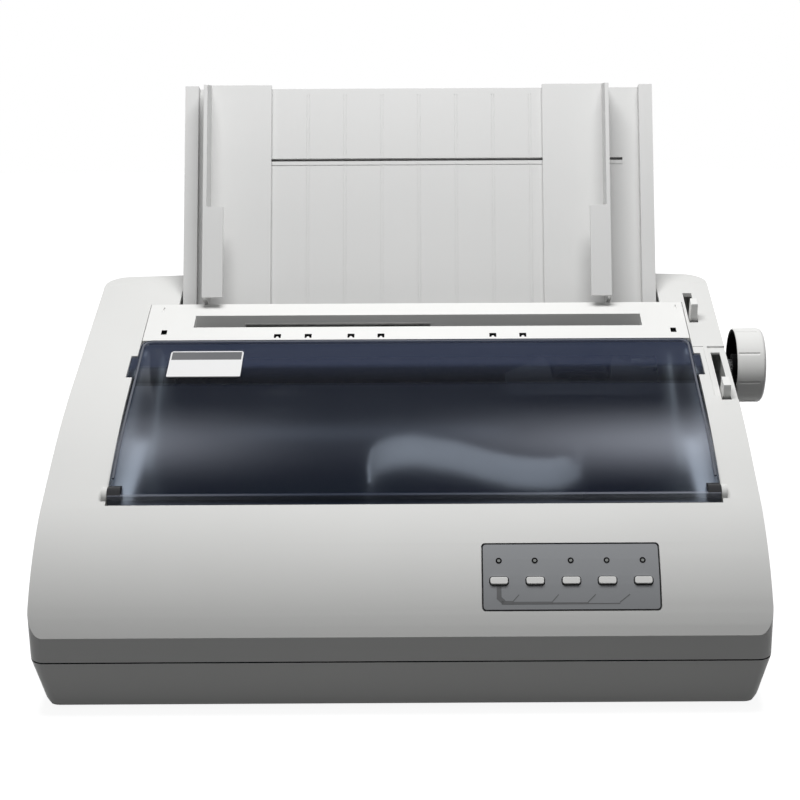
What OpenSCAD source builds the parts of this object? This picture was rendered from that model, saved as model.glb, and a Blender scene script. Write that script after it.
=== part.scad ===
// Narrow-carriage desktop dot matrix printer.
// X runs to the right seen from the front, Y runs back, Z runs up from the table.
// Every sub-part is drawn in the case frame: X = 0 at the case's centre, Y = 0 at its front face and
// Z = 0 on the table. Heights inside the case count from the sill, a level just above the seam
// between its two shells.

/* [Case] */
// Width of the case at its seam
case_w = 390; // [386:1:400]
// Depth of the case
case_d = 281; // [279:1:286]
// Height of the rubber feet
foot_h = 3; // [2:0.5:5]
// Height of the lower shell
lower_h = 29.2; // [28:0.2:32]
// Height above the seam of the sill, from which heights inside the case count
sill_h = 2; // [1.5:0.1:2.5]
// Wall of both shells
wall = 2.5; // [2:0.1:2.8]
// Radius of the case's upright corners at the front
corner_r = 8; // [6:1:12]
// Radius of the case's upright corners at the rear
rear_corner_r = 14; // [8:1:16]
// Size of the bevel along the lower shell's side edges
chin_bevel = 3.6; // [2:0.2:4]
// Inward lean of the side walls above the sill, in degrees
side_draft = 1.5; // [0.5:0.25:1.75]
// Inward lean of the walls below the seam, in degrees
chin_taper = 10; // [6:1:12]
// Shadow gap between the two shells
seam_gap = 0.8; // [0.5:0.1:1.2]
// Depth of the tongue on the lower shell
tongue_h = 3; // [2:0.5:4]

/* [Case roof] */
// Height of the upright front band above the sill
band_h = 13; // [12:0.5:14]
// Radius of the curved front
nose_r = 107; // [106:0.5:109]
// Slope at which the curved front starts, in degrees
nose_a = 62; // [61:0.5:63]
// Slope of the shoulder behind the curved front, in degrees
shoulder_a = 20; // [19.5:0.5:20.5]
// Depth at which the shoulder ends
shoulder_y = 85; // [80:1:90]
// Radius that turns the shoulder into the roof
roof_r = 386; // [380:2:392]
// Slope of the roof towards the rear, in degrees
roof_a = 10; // [9.5:0.5:10.5]

/* [Opening and covers] */
// Sideways place of the opening and of what is in it
mech_x = 7; // [6:0.5:8]
// Width of the smoke cover
cover_w = 330.8; // [328:0.4:332]
// Gap between the covers and the opening's sides
open_gap = 0.8; // [0.6:0.1:1]
// Depth at which the smoke cover ends
cover_back_y = 196.4; // [195:0.2:196.6]
// Depth of the cross crease in the smoke cover
crease_y = 145; // [140:1:150]
// Height of the crease above the sill
crease_h = 90.3; // [90:0.1:91]
// Slope of the smoke cover behind the crease, in degrees
cover_a = 11.5; // [11:0.5:12]
// Radius of the smoke cover in front of the crease
cover_r = 505; // [480:5:530]
// Thickness of the smoke cover
cover_t = 2; // [1.6:0.1:2.4]
// Depth of the smoke cover's turned-down edge
cover_skirt = 5.5; // [4.5:0.5:6]
// Radius of the smoke cover's rear corners
cover_corner_r = 7; // [5:1:9]
// Depth of the front cover's hinge axis
hinge_y = 62.5; // [62:0.1:63]
// Height of the front cover's hinge axis above the sill
hinge_h = 64.2; // [63.8:0.1:64.6]
// Diameter of the hinge knuckles
knuckle_d = 10.4; // [9.6:0.2:10.8]
// Length of a hinge knuckle
knuckle_w = 7; // [6:0.5:8]
// Diameter of the front cover's hinge pins
hinge_pin_d = 4; // [3.5:0.1:4.4]
// Width of a finger tab
tab_w = 20; // [16:1:22]
// How far a finger tab stands out
tab_out = 4; // [3:0.5:4]
// Depth of a finger tab's middle
tab_y = 171; // [168:1:174]
// Width and height of the label on the smoke cover
label_size = [43.3, 27]; // [20:1:60]
// Left edge and front edge of the label
label_place = [-139, 157]; // [-145:1:160]
// Depth at which the tear-off cover starts
strip_front_y = 197.4; // [197.4:0.1:198]
// Depth at which the tear-off cover ends
strip_back_y = 239.2; // [238:0.2:240]
// How far the tear-off cover stands above the roof
strip_proud = 1.2; // [0.8:0.1:1.5]
// Thickness of the tear-off cover
strip_t = 2.2; // [1.8:0.1:2.6]
// Width of the paper exit slot
exit_w = 274.5; // [268:0.5:276]
// Front and rear edge of the paper exit slot
exit_y = [212, 225.6]; // [205:0.2:230]
// Diameter of the tear-off cover's hinge pins
strip_pin_d = 3; // [2.4:0.1:3.4]

/* [Paper support] */
// Sideways place of the paper support
support_x = 8.8; // [8:0.2:9.2]
// Width of the paper support
support_w = 298; // [290:1:299]
// Lean of the paper support from upright, in degrees
support_lean = 30.5; // [29:0.5:31]
// Depth of the support's pivot
support_y = 248.5; // [248:0.1:249]
// Height of the support's pivot above the sill
support_h = 92; // [91.5:0.1:92.5]
// Reach of the support above its pivot
support_len = 151.2; // [140:0.2:155]
// Thickness of the support's plate
support_t = 3; // [2.6:0.2:3.4]
// Width of the ribs at the support's sides
rib_w = 8.5; // [7:0.5:9]
// How far the ribs stand forward
rib_out = 7; // [5:0.5:8]
// Diameter of the support's pivot pins
support_pin_d = 6; // [5:0.5:7]
// Distance of the guide slot below the top edge
guide_slot_drop = 46.8; // [42:0.2:50]
// Height of the guide slot
guide_slot_h = 1.8; // [1.6:0.1:2.2]
// Pitch of the fine upright grooves
groove_pitch = 23.7; // [20:0.5:26]
// Width of a guide's plate
guide_w = 38.3; // [34:0.1:39]
// Distance between the two guides' fences
paper_w = 250; // [246:1:252]
// Sideways place of the middle of the paper
paper_x = 1.1; // [0.5:0.1:1.5]
// How far a guide's fence stands forward
fence_out = 20; // [16:1:20]
// How far a fence's front top corner lies below its rear one
fence_slope = 5.6; // [4:0.2:8]
// Thickness of a guide's plate
guide_t = 2.4; // [2:0.1:2.6]
// Thickness of a guide's fence
fence_t = 2.4; // [2:0.1:3]
// Width of the flange at the front of a fence
flange_w = 10.4; // [8:0.2:12]
// Distance of the flange's end below the top of the guide
flange_drop = 84; // [76:1:90]

/* [Control panel] */
// Width of the control panel
panel_w = 93.2; // [92:0.4:98]
// Left edge of the control panel
panel_x = 42.8; // [38:0.4:46]
// Slope of the front at the panel's middle, in degrees
panel_a = 45.1; // [44:0.1:46]
// Length of the panel along the curved front
panel_len = 36.3; // [35:0.1:38]
// Radius of the panel's corners
panel_corner_r = 2; // [1.2:0.1:2.6]
// Thickness of the panel's inlay
panel_t = 1.2; // [1:0.1:1.4]
// Number of buttons, and of lamps above them
button_count = 5;
// Distance between buttons
button_pitch = 18.9; // [17:0.1:19]
// Width and height of a button
button_size = [9.2, 3.8]; // [3:0.2:10]
// How far a button stands above the panel
button_out = 1.3; // [1:0.1:1.6]
// Travel of a button
button_travel = 0.8; // [0.6:0.1:0.8]
// Diameter of a status lamp
lamp_d = 2.7; // [2:0.1:3]
// Distance of the lamps above the buttons
lamp_rise = 11.1; // [9:0.1:11.4]

/* [Levers and knob] */
// Depth and height of the platen's axis above the sill
platen_at = [219, 73]; // [70:0.5:220]
// Diameter of the platen
platen_d = 28; // [26:0.5:28]
// Length of the platen
platen_len = 262; // [258:1:266]
// Diameter of the platen's shaft
platen_shaft_d = 8; // [7:0.5:8]
// Diameter of the knob
knob_d = 46; // [40:0.5:46]
// Length of the knob
knob_w = 18.2; // [14:0.2:19]
// Gap between the case's widest part and the knob
knob_gap = 8; // [6:0.5:9]
// Wall of the knob
knob_wall = 2.4; // [2:0.2:3]
// Number of grooves round the knob
knob_grooves = 8; // [6:1:10]
// Depth and height of the guide shaft above the sill
guide_at = [165, 46]; // [44:0.5:166]
// Diameter of the guide shaft
guide_d = 10; // [9:0.5:10]
// Left face of the paper thickness lever
gap_lever_x = 184; // [183:0.2:184]
// Thickness of both levers
lever_t = 4.3; // [4:0.1:4.4]
// Left face of the release lever
release_x = 175.5; // [175.3:0.1:175.6]
// Depth and height of the release lever's pivot
release_at = [238, 55]; // [50:0.5:240]
// Clearance round a lever in its slot
lever_gap = 0.6; // [0.5:0.1:0.7]

/* [Mechanism] */
// Distance between the side frames
frame_span = 304.8; // [304:0.2:306]
// Thickness of the side frames, the rail and the base frame
sheet_t = 1.6; // [1.4:0.1:1.8]
// Radial clearance of a running fit
run_gap = 0.05; // [0.03:0.01:0.06]
// Module of the gears
gear_m = 1; // [1:0.1:1]
// Teeth of the platen's gear
platen_teeth = 36; // [36:1:36]
// Teeth of the feed idler and of the tractor gear
idler_teeth = 24; // [24:1:24]
// Teeth of the feed motor's pinion
pinion_teeth = 15; // [15:1:15]
// Width of the gears
gear_w = 6; // [5:0.5:6]
// Direction from the platen's gear to the idler, in degrees
idler_dir = -35; // [-36:1:-34]
// Direction from the idler to the tractor gear, in degrees
tractor_dir = -40; // [-41:1:-39]
// Direction from the idler to the motor pinion, in degrees
pinion_dir = -130; // [-131:1:-129]
// Diameter of the feed motor
feed_motor_d = 32; // [30:1:32]
// Length of the feed motor
feed_motor_w = 20; // [18:1:21]
// Diameter of the tractor drive shaft
tractor_shaft_d = 8; // [7:0.5:8]
// Diameter of the tractor support rod
tractor_rod_d = 6; // [5:0.5:6]
// Width of a tractor
tractor_w = 18; // [16:1:20]
// Diameter of a pressure roller
roller_d = 12; // [11:0.5:12]
// Diameter of the pressure rollers' rod
roller_rod_d = 5; // [4:0.5:5]
// Direction from the platen to the pressure rollers, in degrees
roller_dir = 240; // [238:1:241]
// Width of the carriage
carriage_w = 40; // [36:1:42]
// Place of the carriage from the platen's middle at rest
carriage_x = 98; // [90:1:99]
// Width of the ribbon cartridge
cartridge_w = 92; // [84:1:94]
// Diameter of the print head
head_d = 27; // [25:0.5:27]
// Depth of the belt pulleys' axes
pulley_y = 150; // [149.5:0.5:150.5]
// Radius of the belt on its pulleys
belt_r = 7; // [6.5:0.1:7]
// Thickness of the belt
belt_t = 1.2; // [1:0.1:1.4]
// Width of the belt
belt_w = 6; // [5:0.5:6]
// Diameter of the carriage motor
carriage_motor_d = 36; // [32:1:36]
// Thickness of the circuit boards
board_t = 1.6; // [1.4:0.1:1.8]

/* [Hidden] */
$fn = 48;

// Heights of the seam, of the sill and of the floor's upper face
seam_z = foot_h + lower_h;
sill_z = seam_z + sill_h;
floor_z = foot_h + wall;

// Centre of the curved front and the points where the roof's stretches meet
nose_c = [nose_r * sin(nose_a), band_h - nose_r * cos(nose_a)];
nose_end = nose_c + nose_r * [-sin(shoulder_a), cos(shoulder_a)];
shoulder_end = [shoulder_y, nose_end[1] + (shoulder_y - nose_end[0]) * tan(shoulder_a)];
roof_c = shoulder_end + roof_r * [sin(shoulder_a), -cos(shoulder_a)];
roof_start = roof_c + roof_r * [-sin(roof_a), cos(roof_a)];

// Height of the roof's outer face above the sill at depth y
function roof_h(y) =
    y < nose_end[0] ? nose_c[1] + sqrt(nose_r * nose_r - (nose_c[0] - y) * (nose_c[0] - y))
    : y < shoulder_y ? nose_end[1] + (y - nose_end[0]) * tan(shoulder_a)
    : y < roof_start[0] ? roof_c[1] + sqrt(roof_r * roof_r - (roof_c[0] - y) * (roof_c[0] - y))
    : roof_start[1] + (y - roof_start[0]) * tan(roof_a);

// Points on an arc about c, whose slope runs from a to b in n steps
function slope_arc(c, r, a, b, n) =
    [for (i = [0:n]) let (s = a + (b - a) * i / n) c + r * [-sin(s), cos(s)]];

// Outline of the upper shell seen from the side, closed at height low
function roof_outline(low) = concat(
    [[0, low]],
    slope_arc(nose_c, nose_r, nose_a, shoulder_a, 14),
    slope_arc(roof_c, roof_r, shoulder_a, roof_a, 5),
    [[case_d, roof_h(case_d)], [case_d, low]]
);

// A clockwise outline drawn in by d along its edges' normals
function drawn_in(points, d) = [
    for (i = [0:len(points) - 1])
    let (
        n = len(points),
        a = points[i] - points[(i + n - 1) % n],
        b = points[(i + 1) % n] - points[i],
        p = [a[1], -a[0]] / norm(a),
        q = [b[1], -b[0]] / norm(b)
    )
    points[i] + d * (p + q) / (1 + p * q)
];

// Outline of a rectangle whose four corners have the radii r, from the lower left one round
function soft_rect(x0, y0, x1, y1, r) = concat(
    corner_arc([x0 + r[0], y0 + r[0]], r[0], 180),
    corner_arc([x1 - r[1], y0 + r[1]], r[1], 270),
    corner_arc([x1 - r[2], y1 - r[2]], r[2], 0),
    corner_arc([x0 + r[3], y1 - r[3]], r[3], 90)
);
function corner_arc(c, r, a) =
    r <= 0 ? [c] : [for (i = [0:8]) c + r * [cos(a + i * 11.25), sin(a + i * 11.25)]];

// A profile in Y and Z drawn along X from x0 over len
module along_x(x0, len)
    translate([x0, 0, 0]) rotate([90, 0, 90]) linear_extrude(len) children();

// A profile in X and Z drawn along Y from y0 over len
module along_y(y0, len)
    translate([0, y0 + len, 0]) rotate([90, 0, 0]) linear_extrude(len) children();

// A rod along X with its axis at depth and height p
module rod_x(x0, len, d, p)
    translate([x0, p[0], p[1]]) rotate([0, 90, 0]) cylinder(h = len, d = d);

module block(x, y, z)
    translate([x[0], y[0], z[0]]) cube([x[1] - x[0], y[1] - y[0], z[1] - z[0]]);

// Heights that count from the seam or from the sill are drawn inside these
module on_seam()
    translate([0, 0, seam_z]) children();
module on_sill()
    translate([0, 0, sill_z]) children();

// The case frame laid so that the whole printer stands centred on the origin
rim_x = case_w / 2 + knob_gap;
knob_end_x = rim_x + knob_w;
lean_dir = [sin(support_lean), cos(support_lean)];
guide_top = support_len + 1.8;
back_y = support_y + support_len * lean_dir[0] + support_t / 2 * lean_dir[1];
module placed()
    translate([(case_w / 2 - knob_end_x) / 2, -back_y / 2, 0]) children();

// ---- Case ----

// The upper shell's outer body, drawn in by d; its inner body runs on below the seam
module upper_body(d) {
    low = (d > 0 ? -3 * wall : seam_gap / 2) - sill_h;
    on_sill() intersection() {
        along_x(-case_w / 2, case_w) polygon(drawn_in(roof_outline(low), d));
        leaning_side(-1, d, low);
        leaning_side(1, d, low);
    }
}

// A prism whose wall and corners on one side lean in
module leaning_side(side, d, low) {
    front_r = side * (corner_r - d);
    rear_r = side * (rear_corner_r - d);
    x = [side > 0 ? -case_w : 0, side > 0 ? 0 : case_w];
    translate([side * (case_w / 2 - d), 0, 0]) rotate([0, -side * side_draft, 0])
        translate([0, 0, low - 5]) linear_extrude(roof_h(case_d) - low + 12)
            polygon(soft_rect(x[0], d, x[1], case_d - d, [-front_r, front_r, rear_r, -rear_r]));
}

module case_plan(d) {
    r = [corner_r - d, rear_corner_r - d];
    polygon(soft_rect(-case_w / 2 + d, d, case_w / 2 - d, case_d - d, [r[0], r[0], r[1], r[1]]));
}

// The lower shell's outer body, drawn in by d; its front and sides lean in and its rear is upright
module lower_body(d) {
    lean = tan(chin_taper);
    drop = lower_h - d;
    rise = d > 0 ? 1 : -seam_gap / 2;
    half = case_w / 2 - d + max(rise, 0) * lean;
    len = case_d - 2 * d + max(rise, 0) * lean;
    fall = drop + rise;
    low_half = half - fall * lean;
    r = [corner_r - d, rear_corner_r - d];
    on_seam() intersection() {
        translate([0, case_d - d, rise]) mirror([0, 0, 1])
            linear_extrude(fall, scale = [low_half / half, 1 - fall * lean / len], slices = 1)
                polygon(soft_rect(-half, -len, half, 0, [r[0], r[0], r[1], r[1]]));
        along_y(-1, case_d + 2) polygon([
            [-low_half + chin_bevel, -drop], [-low_half - 2 * chin_bevel, -drop + 3 * chin_bevel],
            [-case_w, 2], [case_w, 2],
            [low_half + 2 * chin_bevel, -drop + 3 * chin_bevel], [low_half - chin_bevel, -drop]
        ]);
    }
}

// Places of the four screws that join the shells
boss_x = case_w / 2 - 17;
boss_y = [19, case_d - 19];
boss_d = 8.5;
screw_d = 3;
module at_bosses()
    for (x = [-boss_x, boss_x], y = boss_y) translate([x, y, 0]) children();

// Places of the feet
foot_d = 18;
module at_feet()
    for (x = [-case_w / 2 + 38, case_w / 2 - 38], y = [34, case_d - 30]) translate([x, y, 0]) children();

// Ends of the mechanism between its side frames
frame_l = mech_x - frame_span / 2;
frame_r = mech_x + frame_span / 2;
base_z = floor_z + 1.6;
frame_z = base_z + sheet_t;
base_front_y = 116;
base_back_y = 256;

// Where the head's cable leaves the main board
cable_foot = [-18, 82];

// The boards lie on bosses of the floor
board_z = floor_z + 4;
main_board_x = [-140, 30];
power_board_x = [50, 150];
board_y = [18, 108];
port_board_x = [-112, 2];
port_board_y = [214, case_d - wall - 1];
port_board_z = frame_z + 1.6;

module board_posts(x, y, from_z, to_z)
    for (px = [x[0] + 6, x[1] - 6], py = [y[0] + 6, y[1] - 6])
        translate([px, py, from_z]) cylinder(h = to_z - from_z, d = 6);

// Sizes of what shows in the rear wall
parallel_x = [-100, -32];
parallel_h = 14;
usb_x = [-20, -8];
usb_h = 11;
inlet_x = [116, 144];
inlet_z = [floor_z + 1.5, floor_z + 21.5];
switch_x = [150, 171];
switch_z = [floor_z + 4, floor_z + 19];
port_z = port_board_z + board_t;

module lower_case() color("gainsboro") placed() {
    difference() {
        union() {
            difference() {
                lower_body(0);
                lower_body(wall);
            }
            // the tongue that guides the upper shell
            intersection() {
                on_seam() difference() {
                    translate([0, 0, -4]) linear_extrude(4 + tongue_h) case_plan(wall + 0.5);
                    translate([0, 0, -5]) linear_extrude(7 + tongue_h) case_plan(wall + 1.7);
                }
                union() {
                    lower_body(wall - 0.01);
                    on_seam() translate([0, 0, -0.1]) linear_extrude(tongue_h + 0.1) case_plan(wall + 0.5);
                }
            }
            at_bosses() translate([0, 0, foot_h]) cylinder(h = lower_h - seam_gap / 2, d = boss_d);
            at_feet() translate([0, 0, foot_h]) cylinder(h = wall + 1.4, d = foot_d + 4);
            board_posts(main_board_x, board_y, foot_h + 1, board_z);
            board_posts(power_board_x, board_y, foot_h + 1, board_z);
            for (x = [port_board_x[0] + 6, port_board_x[1] - 6])
                translate([x, port_board_y[1] - 6, foot_h + 1])
                    cylinder(h = port_board_z - foot_h - 1, d = 6);
            for (x = [frame_l + 14, frame_r - 14], y = [base_front_y + 12, base_back_y - 12])
                translate([x, y, foot_h + 1]) cylinder(h = base_z - foot_h - 1, d = 12);
        }
        at_bosses() translate([0, 0, foot_h - 1]) {
            cylinder(h = lower_h + 2, d = screw_d + 0.4);
            cylinder(h = 4, d = 6.6);
        }
        at_feet() cylinder(h = foot_h + 1.5, d = foot_d + 0.2);
        rear_hole([parallel_x[0] - 0.4, parallel_x[1] + 0.4], [port_z - 0.4, port_z + parallel_h + 0.4]);
        rear_hole([usb_x[0] - 0.4, usb_x[1] + 0.4], [port_z - 0.4, port_z + usb_h + 0.4]);
        rear_hole([inlet_x[0], inlet_x[1]], inlet_z);
        rear_hole([switch_x[0], switch_x[1]], switch_z);
    }
}

module rear_hole(x, z)
    block(x, [case_d - wall - 2, case_d + 2], z);

// The opening in the roof
open_w = cover_w + 2 * open_gap;
open_x = [mech_x - open_w / 2, mech_x + open_w / 2];
open_front_y = hinge_y - knuckle_d / 2 - 2.4;
notch_w = support_w + 3;
notch_x = [support_x - notch_w / 2, support_x + notch_w / 2];
notch_h = 82;

// Lever slots
gap_slot_y = [135, 185];
gap_slot_x = [gap_lever_x - lever_gap, gap_lever_x + lever_t + lever_gap];
release_slot_y = [217, 252];
release_slot_x = [release_x - lever_gap, release_x + lever_t + lever_gap];

// A thin skin of the roof, from depth d0 to d1 below the outer face, between two depths
module roof_skin(x, y, d0, d1)
    on_sill() along_x(x[0], x[1] - x[0]) polygon(concat(
        [for (i = [0:8]) let (s = y[0] + (y[1] - y[0]) * i / 8) [s, roof_h(s) - d0]],
        [for (i = [8:-1:0]) let (s = y[0] + (y[1] - y[0]) * i / 8) [s, roof_h(s) - d1]]
    ));

// Heights of the covers' outer faces above the sill
crease_c = [crease_y, crease_h] + cover_r * [sin(roof_a), -cos(roof_a)];
function cover_h(y) =
    y > crease_y ? crease_h + (y - crease_y) * tan(cover_a)
    : crease_c[1] + sqrt(cover_r * cover_r - (crease_c[0] - y) * (crease_c[0] - y));
function strip_h(y) = roof_h(y) + strip_proud;

strip_skirt = 4.5;
pad_y = [[187, 195], [200, 206]];
pad_h = [
    cover_h(pad_y[0][0]) - cover_skirt - 0.3,
    strip_h(pad_y[1][0]) - strip_skirt - 0.3
];
strip_axis = [strip_back_y - 2.4, strip_h(strip_back_y - 2.4) - 3.5];
open_back_y = strip_back_y + 2.2;
strip_w = cover_w;
strip_x = [mech_x - strip_w / 2, mech_x + strip_w / 2];
cover_x = [mech_x - cover_w / 2, mech_x + cover_w / 2];

// The ears that carry the front cover, one at each front corner of the opening
ear_gap = 0.3;
ear_w = 3;
ear_d = 9.2;
pin_reach = 4.5;
module cover_ear(side) {
    x0 = mech_x + side * (cover_w / 2 + ear_gap);
    x1 = x0 + side * ear_w;
    foot_low = roof_h(hinge_y - ear_d / 2) - wall;
    on_sill() {
        rod_x(min(x0, x1), ear_w, ear_d, [hinge_y, hinge_h]);
        block([min(x0, x1), max(x0, x1)], [hinge_y - ear_d / 2, hinge_y + ear_d / 2],
            [foot_low, hinge_h]);
        rod_x(side > 0 ? x0 - pin_reach : x0 - 0.5, pin_reach + 0.5, hinge_pin_d, [hinge_y, hinge_h]);
    }
}

module panel_posts()
    for (x = [panel_x + 4, panel_x + panel_w - 4], v = [-11, 11])
        at_panel(x, 0) translate([0, v, -panel_board_drop])
            cylinder(h = panel_board_drop - 1.2, d = 5);

// A place on the curved front: x across and s along the surface from the panel's middle
module at_panel(x, s) {
    a = panel_a - s / nose_r * 180 / PI;
    p = nose_c + nose_r * [-sin(a), cos(a)];
    on_sill() translate([x, p[0], p[1]]) rotate([a, 0, 0]) children();
}
panel_board_drop = 10;
button_x0 = panel_x + (panel_w - (button_count - 1) * button_pitch) / 2;
button_s = -2.6;
button_clear = 0.4;

// A rounded block through the front, wider than the panel by grow on every side
module panel_outline(grow) {
    w = panel_w / 2 + grow;
    h = panel_len / 2 + grow;
    r = panel_corner_r + grow;
    at_panel(panel_x + panel_w / 2, 0) translate([0, 0, -12]) linear_extrude(24)
        polygon(soft_rect(-w, -h, w, h, [r, r, r, r]));
}

// The strip of the curved front that the panel covers, from depth d0 to d1 below its outer face
module panel_sheet(x0, x1, len, d0, d1) {
    half_a = len / 2 / nose_r * 180 / PI;
    on_sill() along_x(x0, x1 - x0) polygon(concat(
        slope_arc(nose_c, nose_r - d0, panel_a + half_a, panel_a - half_a, 8),
        slope_arc(nose_c, nose_r - d1, panel_a - half_a, panel_a + half_a, 8)
    ));
}

module upper_case() color("gainsboro") placed() {
    difference() {
        union() {
            difference() {
                upper_body(0);
                upper_body(wall);
                // one opening for both covers, and the notch for the paper support
                block(open_x, [open_front_y, open_back_y], [sill_z + 30, sill_z + 140]);
                block(notch_x, [strip_back_y, case_d + 1], [sill_z + notch_h, sill_z + 140]);
            }
            for (side = [-1, 1]) cover_ear(side);
            opening_ledges();
            intersection() {
                upper_body(0.5);
                union() {
                    at_bosses() translate([0, 0, seam_z + seam_gap / 2])
                        cylinder(h = roof_h(case_d), d = boss_d);
                    panel_posts();
                }
            }
        }
        at_bosses() translate([0, 0, seam_z - 1]) cylinder(h = 14, d = screw_d);
        // recess of the control panel, and the holes behind its buttons and lamps
        intersection() {
            panel_sheet(panel_x - 0.4, panel_x + panel_w + 0.4, panel_len + 0.8, -3, panel_t);
            panel_outline(0.4);
        }
        for (i = [0:button_count - 1]) {
            at_panel(button_x0 + i * button_pitch, button_s) button_prism(button_clear, -6, 2);
            at_panel(button_x0 + i * button_pitch, button_s + lamp_rise)
                translate([0, 0, -6]) cylinder(h = 8, d = lamp_d + 0.6);
        }
        // finger room beside the smoke cover
        for (side = [-1, 1])
            translate([mech_x + side * (open_w / 2 + tab_out / 2 - 1), tab_y, sill_z + 95])
                cube([tab_out + 1.4, tab_w + 3, 20], center = true);
        // slot of the release lever
        block(release_slot_x, release_slot_y, [sill_z + 80, sill_z + 120]);
        // recess and slot of the paper thickness lever, and the etched line beside them
        roof_skin([gap_slot_x[0] - 1.6, case_w / 2], [gap_slot_y[0] - 1, gap_slot_y[1] + 5], -3, 1.2);
        block(gap_slot_x, gap_slot_y, [sill_z + 70, sill_z + 120]);
        roof_skin([gap_slot_x[0] - 4.4, gap_slot_x[0] - 3.8], [gap_slot_y[0] + 2, gap_slot_y[1] + 5],
            -1, 0.5);
        roof_skin([open_x[1] - 1, gap_slot_x[0] - 4], [gap_slot_y[1] + 4.4, gap_slot_y[1] + 5], -1, 0.5);
        // hole of the platen's shaft
        rod_x(case_w / 2 - 12, 14, platen_shaft_d + 4, [platen_at[0], sill_z + platen_at[1]]);
        // vents in the rear wall
        for (i = [0:13])
            block([-170 + i * 7, -170 + i * 7 + 3], [case_d - wall - 1, case_d + 1],
                [sill_z + 18, sill_z + 44]);
        // holes of the tear-off cover's pins
        on_sill() rod_x(open_x[0] - 8, open_w + 16, strip_pin_d + 2 * run_gap, strip_axis);
    }
}

// Skirts, ledges and rest pads at both sides of the opening
ledge_h = 52;
module opening_ledges() {
    for (side = [-1, 1]) {
        edge = mech_x + side * open_w / 2;
        out = edge + side * 2;
        lip = edge - side * 9.5;
        skirt_y = [76, strip_back_y];
        // upright skirt under the opening's edge
        on_sill() along_x(min(edge, out), 2) polygon([
            [skirt_y[0], ledge_h - 2], [skirt_y[0], roof_h(skirt_y[0]) - 1],
            [110, roof_h(110) - 1], [150, roof_h(150) - 1], [tab_y - 13, roof_h(tab_y - 13) - 1],
            [tab_y - 13, roof_h(tab_y - 13) - 6], [tab_y + 13, roof_h(tab_y - 13) - 6],
            [tab_y + 13, roof_h(tab_y + 13) - 1],
            [skirt_y[1], roof_h(skirt_y[1]) - 1], [skirt_y[1], roof_h(skirt_y[1]) - 14],
            [175, ledge_h + 12], [150, ledge_h - 2]
        ]);
        // ledge beside the mechanism
        on_sill() block([min(out, lip), max(out, lip)], [skirt_y[0], 150], [ledge_h - 2, ledge_h]);
        for (i = [0, 1])
            on_sill() block([min(out, edge - side * 4), max(out, edge - side * 4)], pad_y[i],
                [pad_h[i] - 6, pad_h[i]]);
    }
    // blocks for the tear-off cover's hinge pins
    for (side = [-1, 1]) {
        edge = mech_x + side * open_w / 2;
        far = edge + side * 3;
        on_sill() block([min(edge, far), max(edge, far)],
            [strip_axis[0] - 3.6, strip_axis[0] + 3.6],
            [strip_axis[1] - 3.2, roof_h(strip_axis[0] - 3.6) - 1]);
    }
}

module feet() color("dimgray") placed()
    at_feet() cylinder(h = foot_h + 1.5, d = foot_d);

module case_screws() color("silver") placed()
    at_bosses() {
        translate([0, 0, foot_h + 1]) cylinder(h = 2, d = 6);
        translate([0, 0, foot_h + 2.5]) cylinder(h = lower_h + 8, d = screw_d);
    }

// ---- Frame ----

module base_frame() color("silver") placed()
    difference() {
        union() {
            block([frame_l - sheet_t, frame_r + sheet_t], [base_front_y, base_back_y], [base_z, frame_z]);
            block([frame_l - sheet_t, frame_r + sheet_t], [base_front_y, base_front_y + sheet_t],
                [base_z, frame_z + 10]);
        }
        for (x = [-60, 0, 60]) translate([x, (base_front_y + base_back_y) / 2 - 20, 0])
            cylinder(h = 60, d = 26);
    }

// Places of the shafts, as depth and height above the sill
idler_at = platen_at + gear_m * (platen_teeth + idler_teeth) / 2 * [cos(idler_dir), sin(idler_dir)];
tractor_at = idler_at + gear_m * idler_teeth * [cos(tractor_dir), sin(tractor_dir)];
pinion_at = idler_at + gear_m * (idler_teeth + pinion_teeth) / 2 * [cos(pinion_dir), sin(pinion_dir)];
rod_at = tractor_at + [-11, -5];
roller_at = platen_at + ((platen_d + roller_d) / 2 + 0.3) * [cos(roller_dir), sin(roller_dir)];
support_at = [support_y, support_h];
bush_d = 14;
stud_d = 5;
release_pin_d = 6;

module side_plate(x0)
    on_sill() difference() {
        along_x(x0, sheet_t) polygon([
            [122, frame_z - sill_z], [122, 48], [150, 58], [200, 90], [236, 97], [262, 98],
            [276, 62], [276, 36], [base_back_y, 20], [base_back_y, frame_z - sill_z]
        ]);
        rod_x(x0 - 1, sheet_t + 2, bush_d, platen_at);
        rod_x(x0 - 1, sheet_t + 2, guide_d + 2 * run_gap, guide_at);
        rod_x(x0 - 1, sheet_t + 2, tractor_shaft_d + 2 * run_gap, tractor_at);
        rod_x(x0 - 1, sheet_t + 2, tractor_rod_d, rod_at);
        rod_x(x0 - 1, sheet_t + 2, roller_rod_d + 2 * run_gap, roller_at);
        rod_x(x0 - 1, sheet_t + 2, support_pin_d + 2 * run_gap, support_at);
        rod_x(x0 - 1, sheet_t + 2, 30, [190, 12]);
    }

gear_x = frame_l - sheet_t - 2.5 - gear_w;
module left_side_frame() color("silver") placed() difference() {
    union() {
        side_plate(frame_l - sheet_t);
        // the idler turns on this stud
        on_sill() {
            rod_x(gear_x - 1, frame_l - gear_x, stud_d, idler_at);
            rod_x(gear_x + gear_w + 0.3, frame_l - gear_x - gear_w - 1, stud_d + 4, idler_at);
        }
    }
    on_sill() rod_x(frame_l - sheet_t - 1, sheet_t + 2, 10, pinion_at);
}

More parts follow.
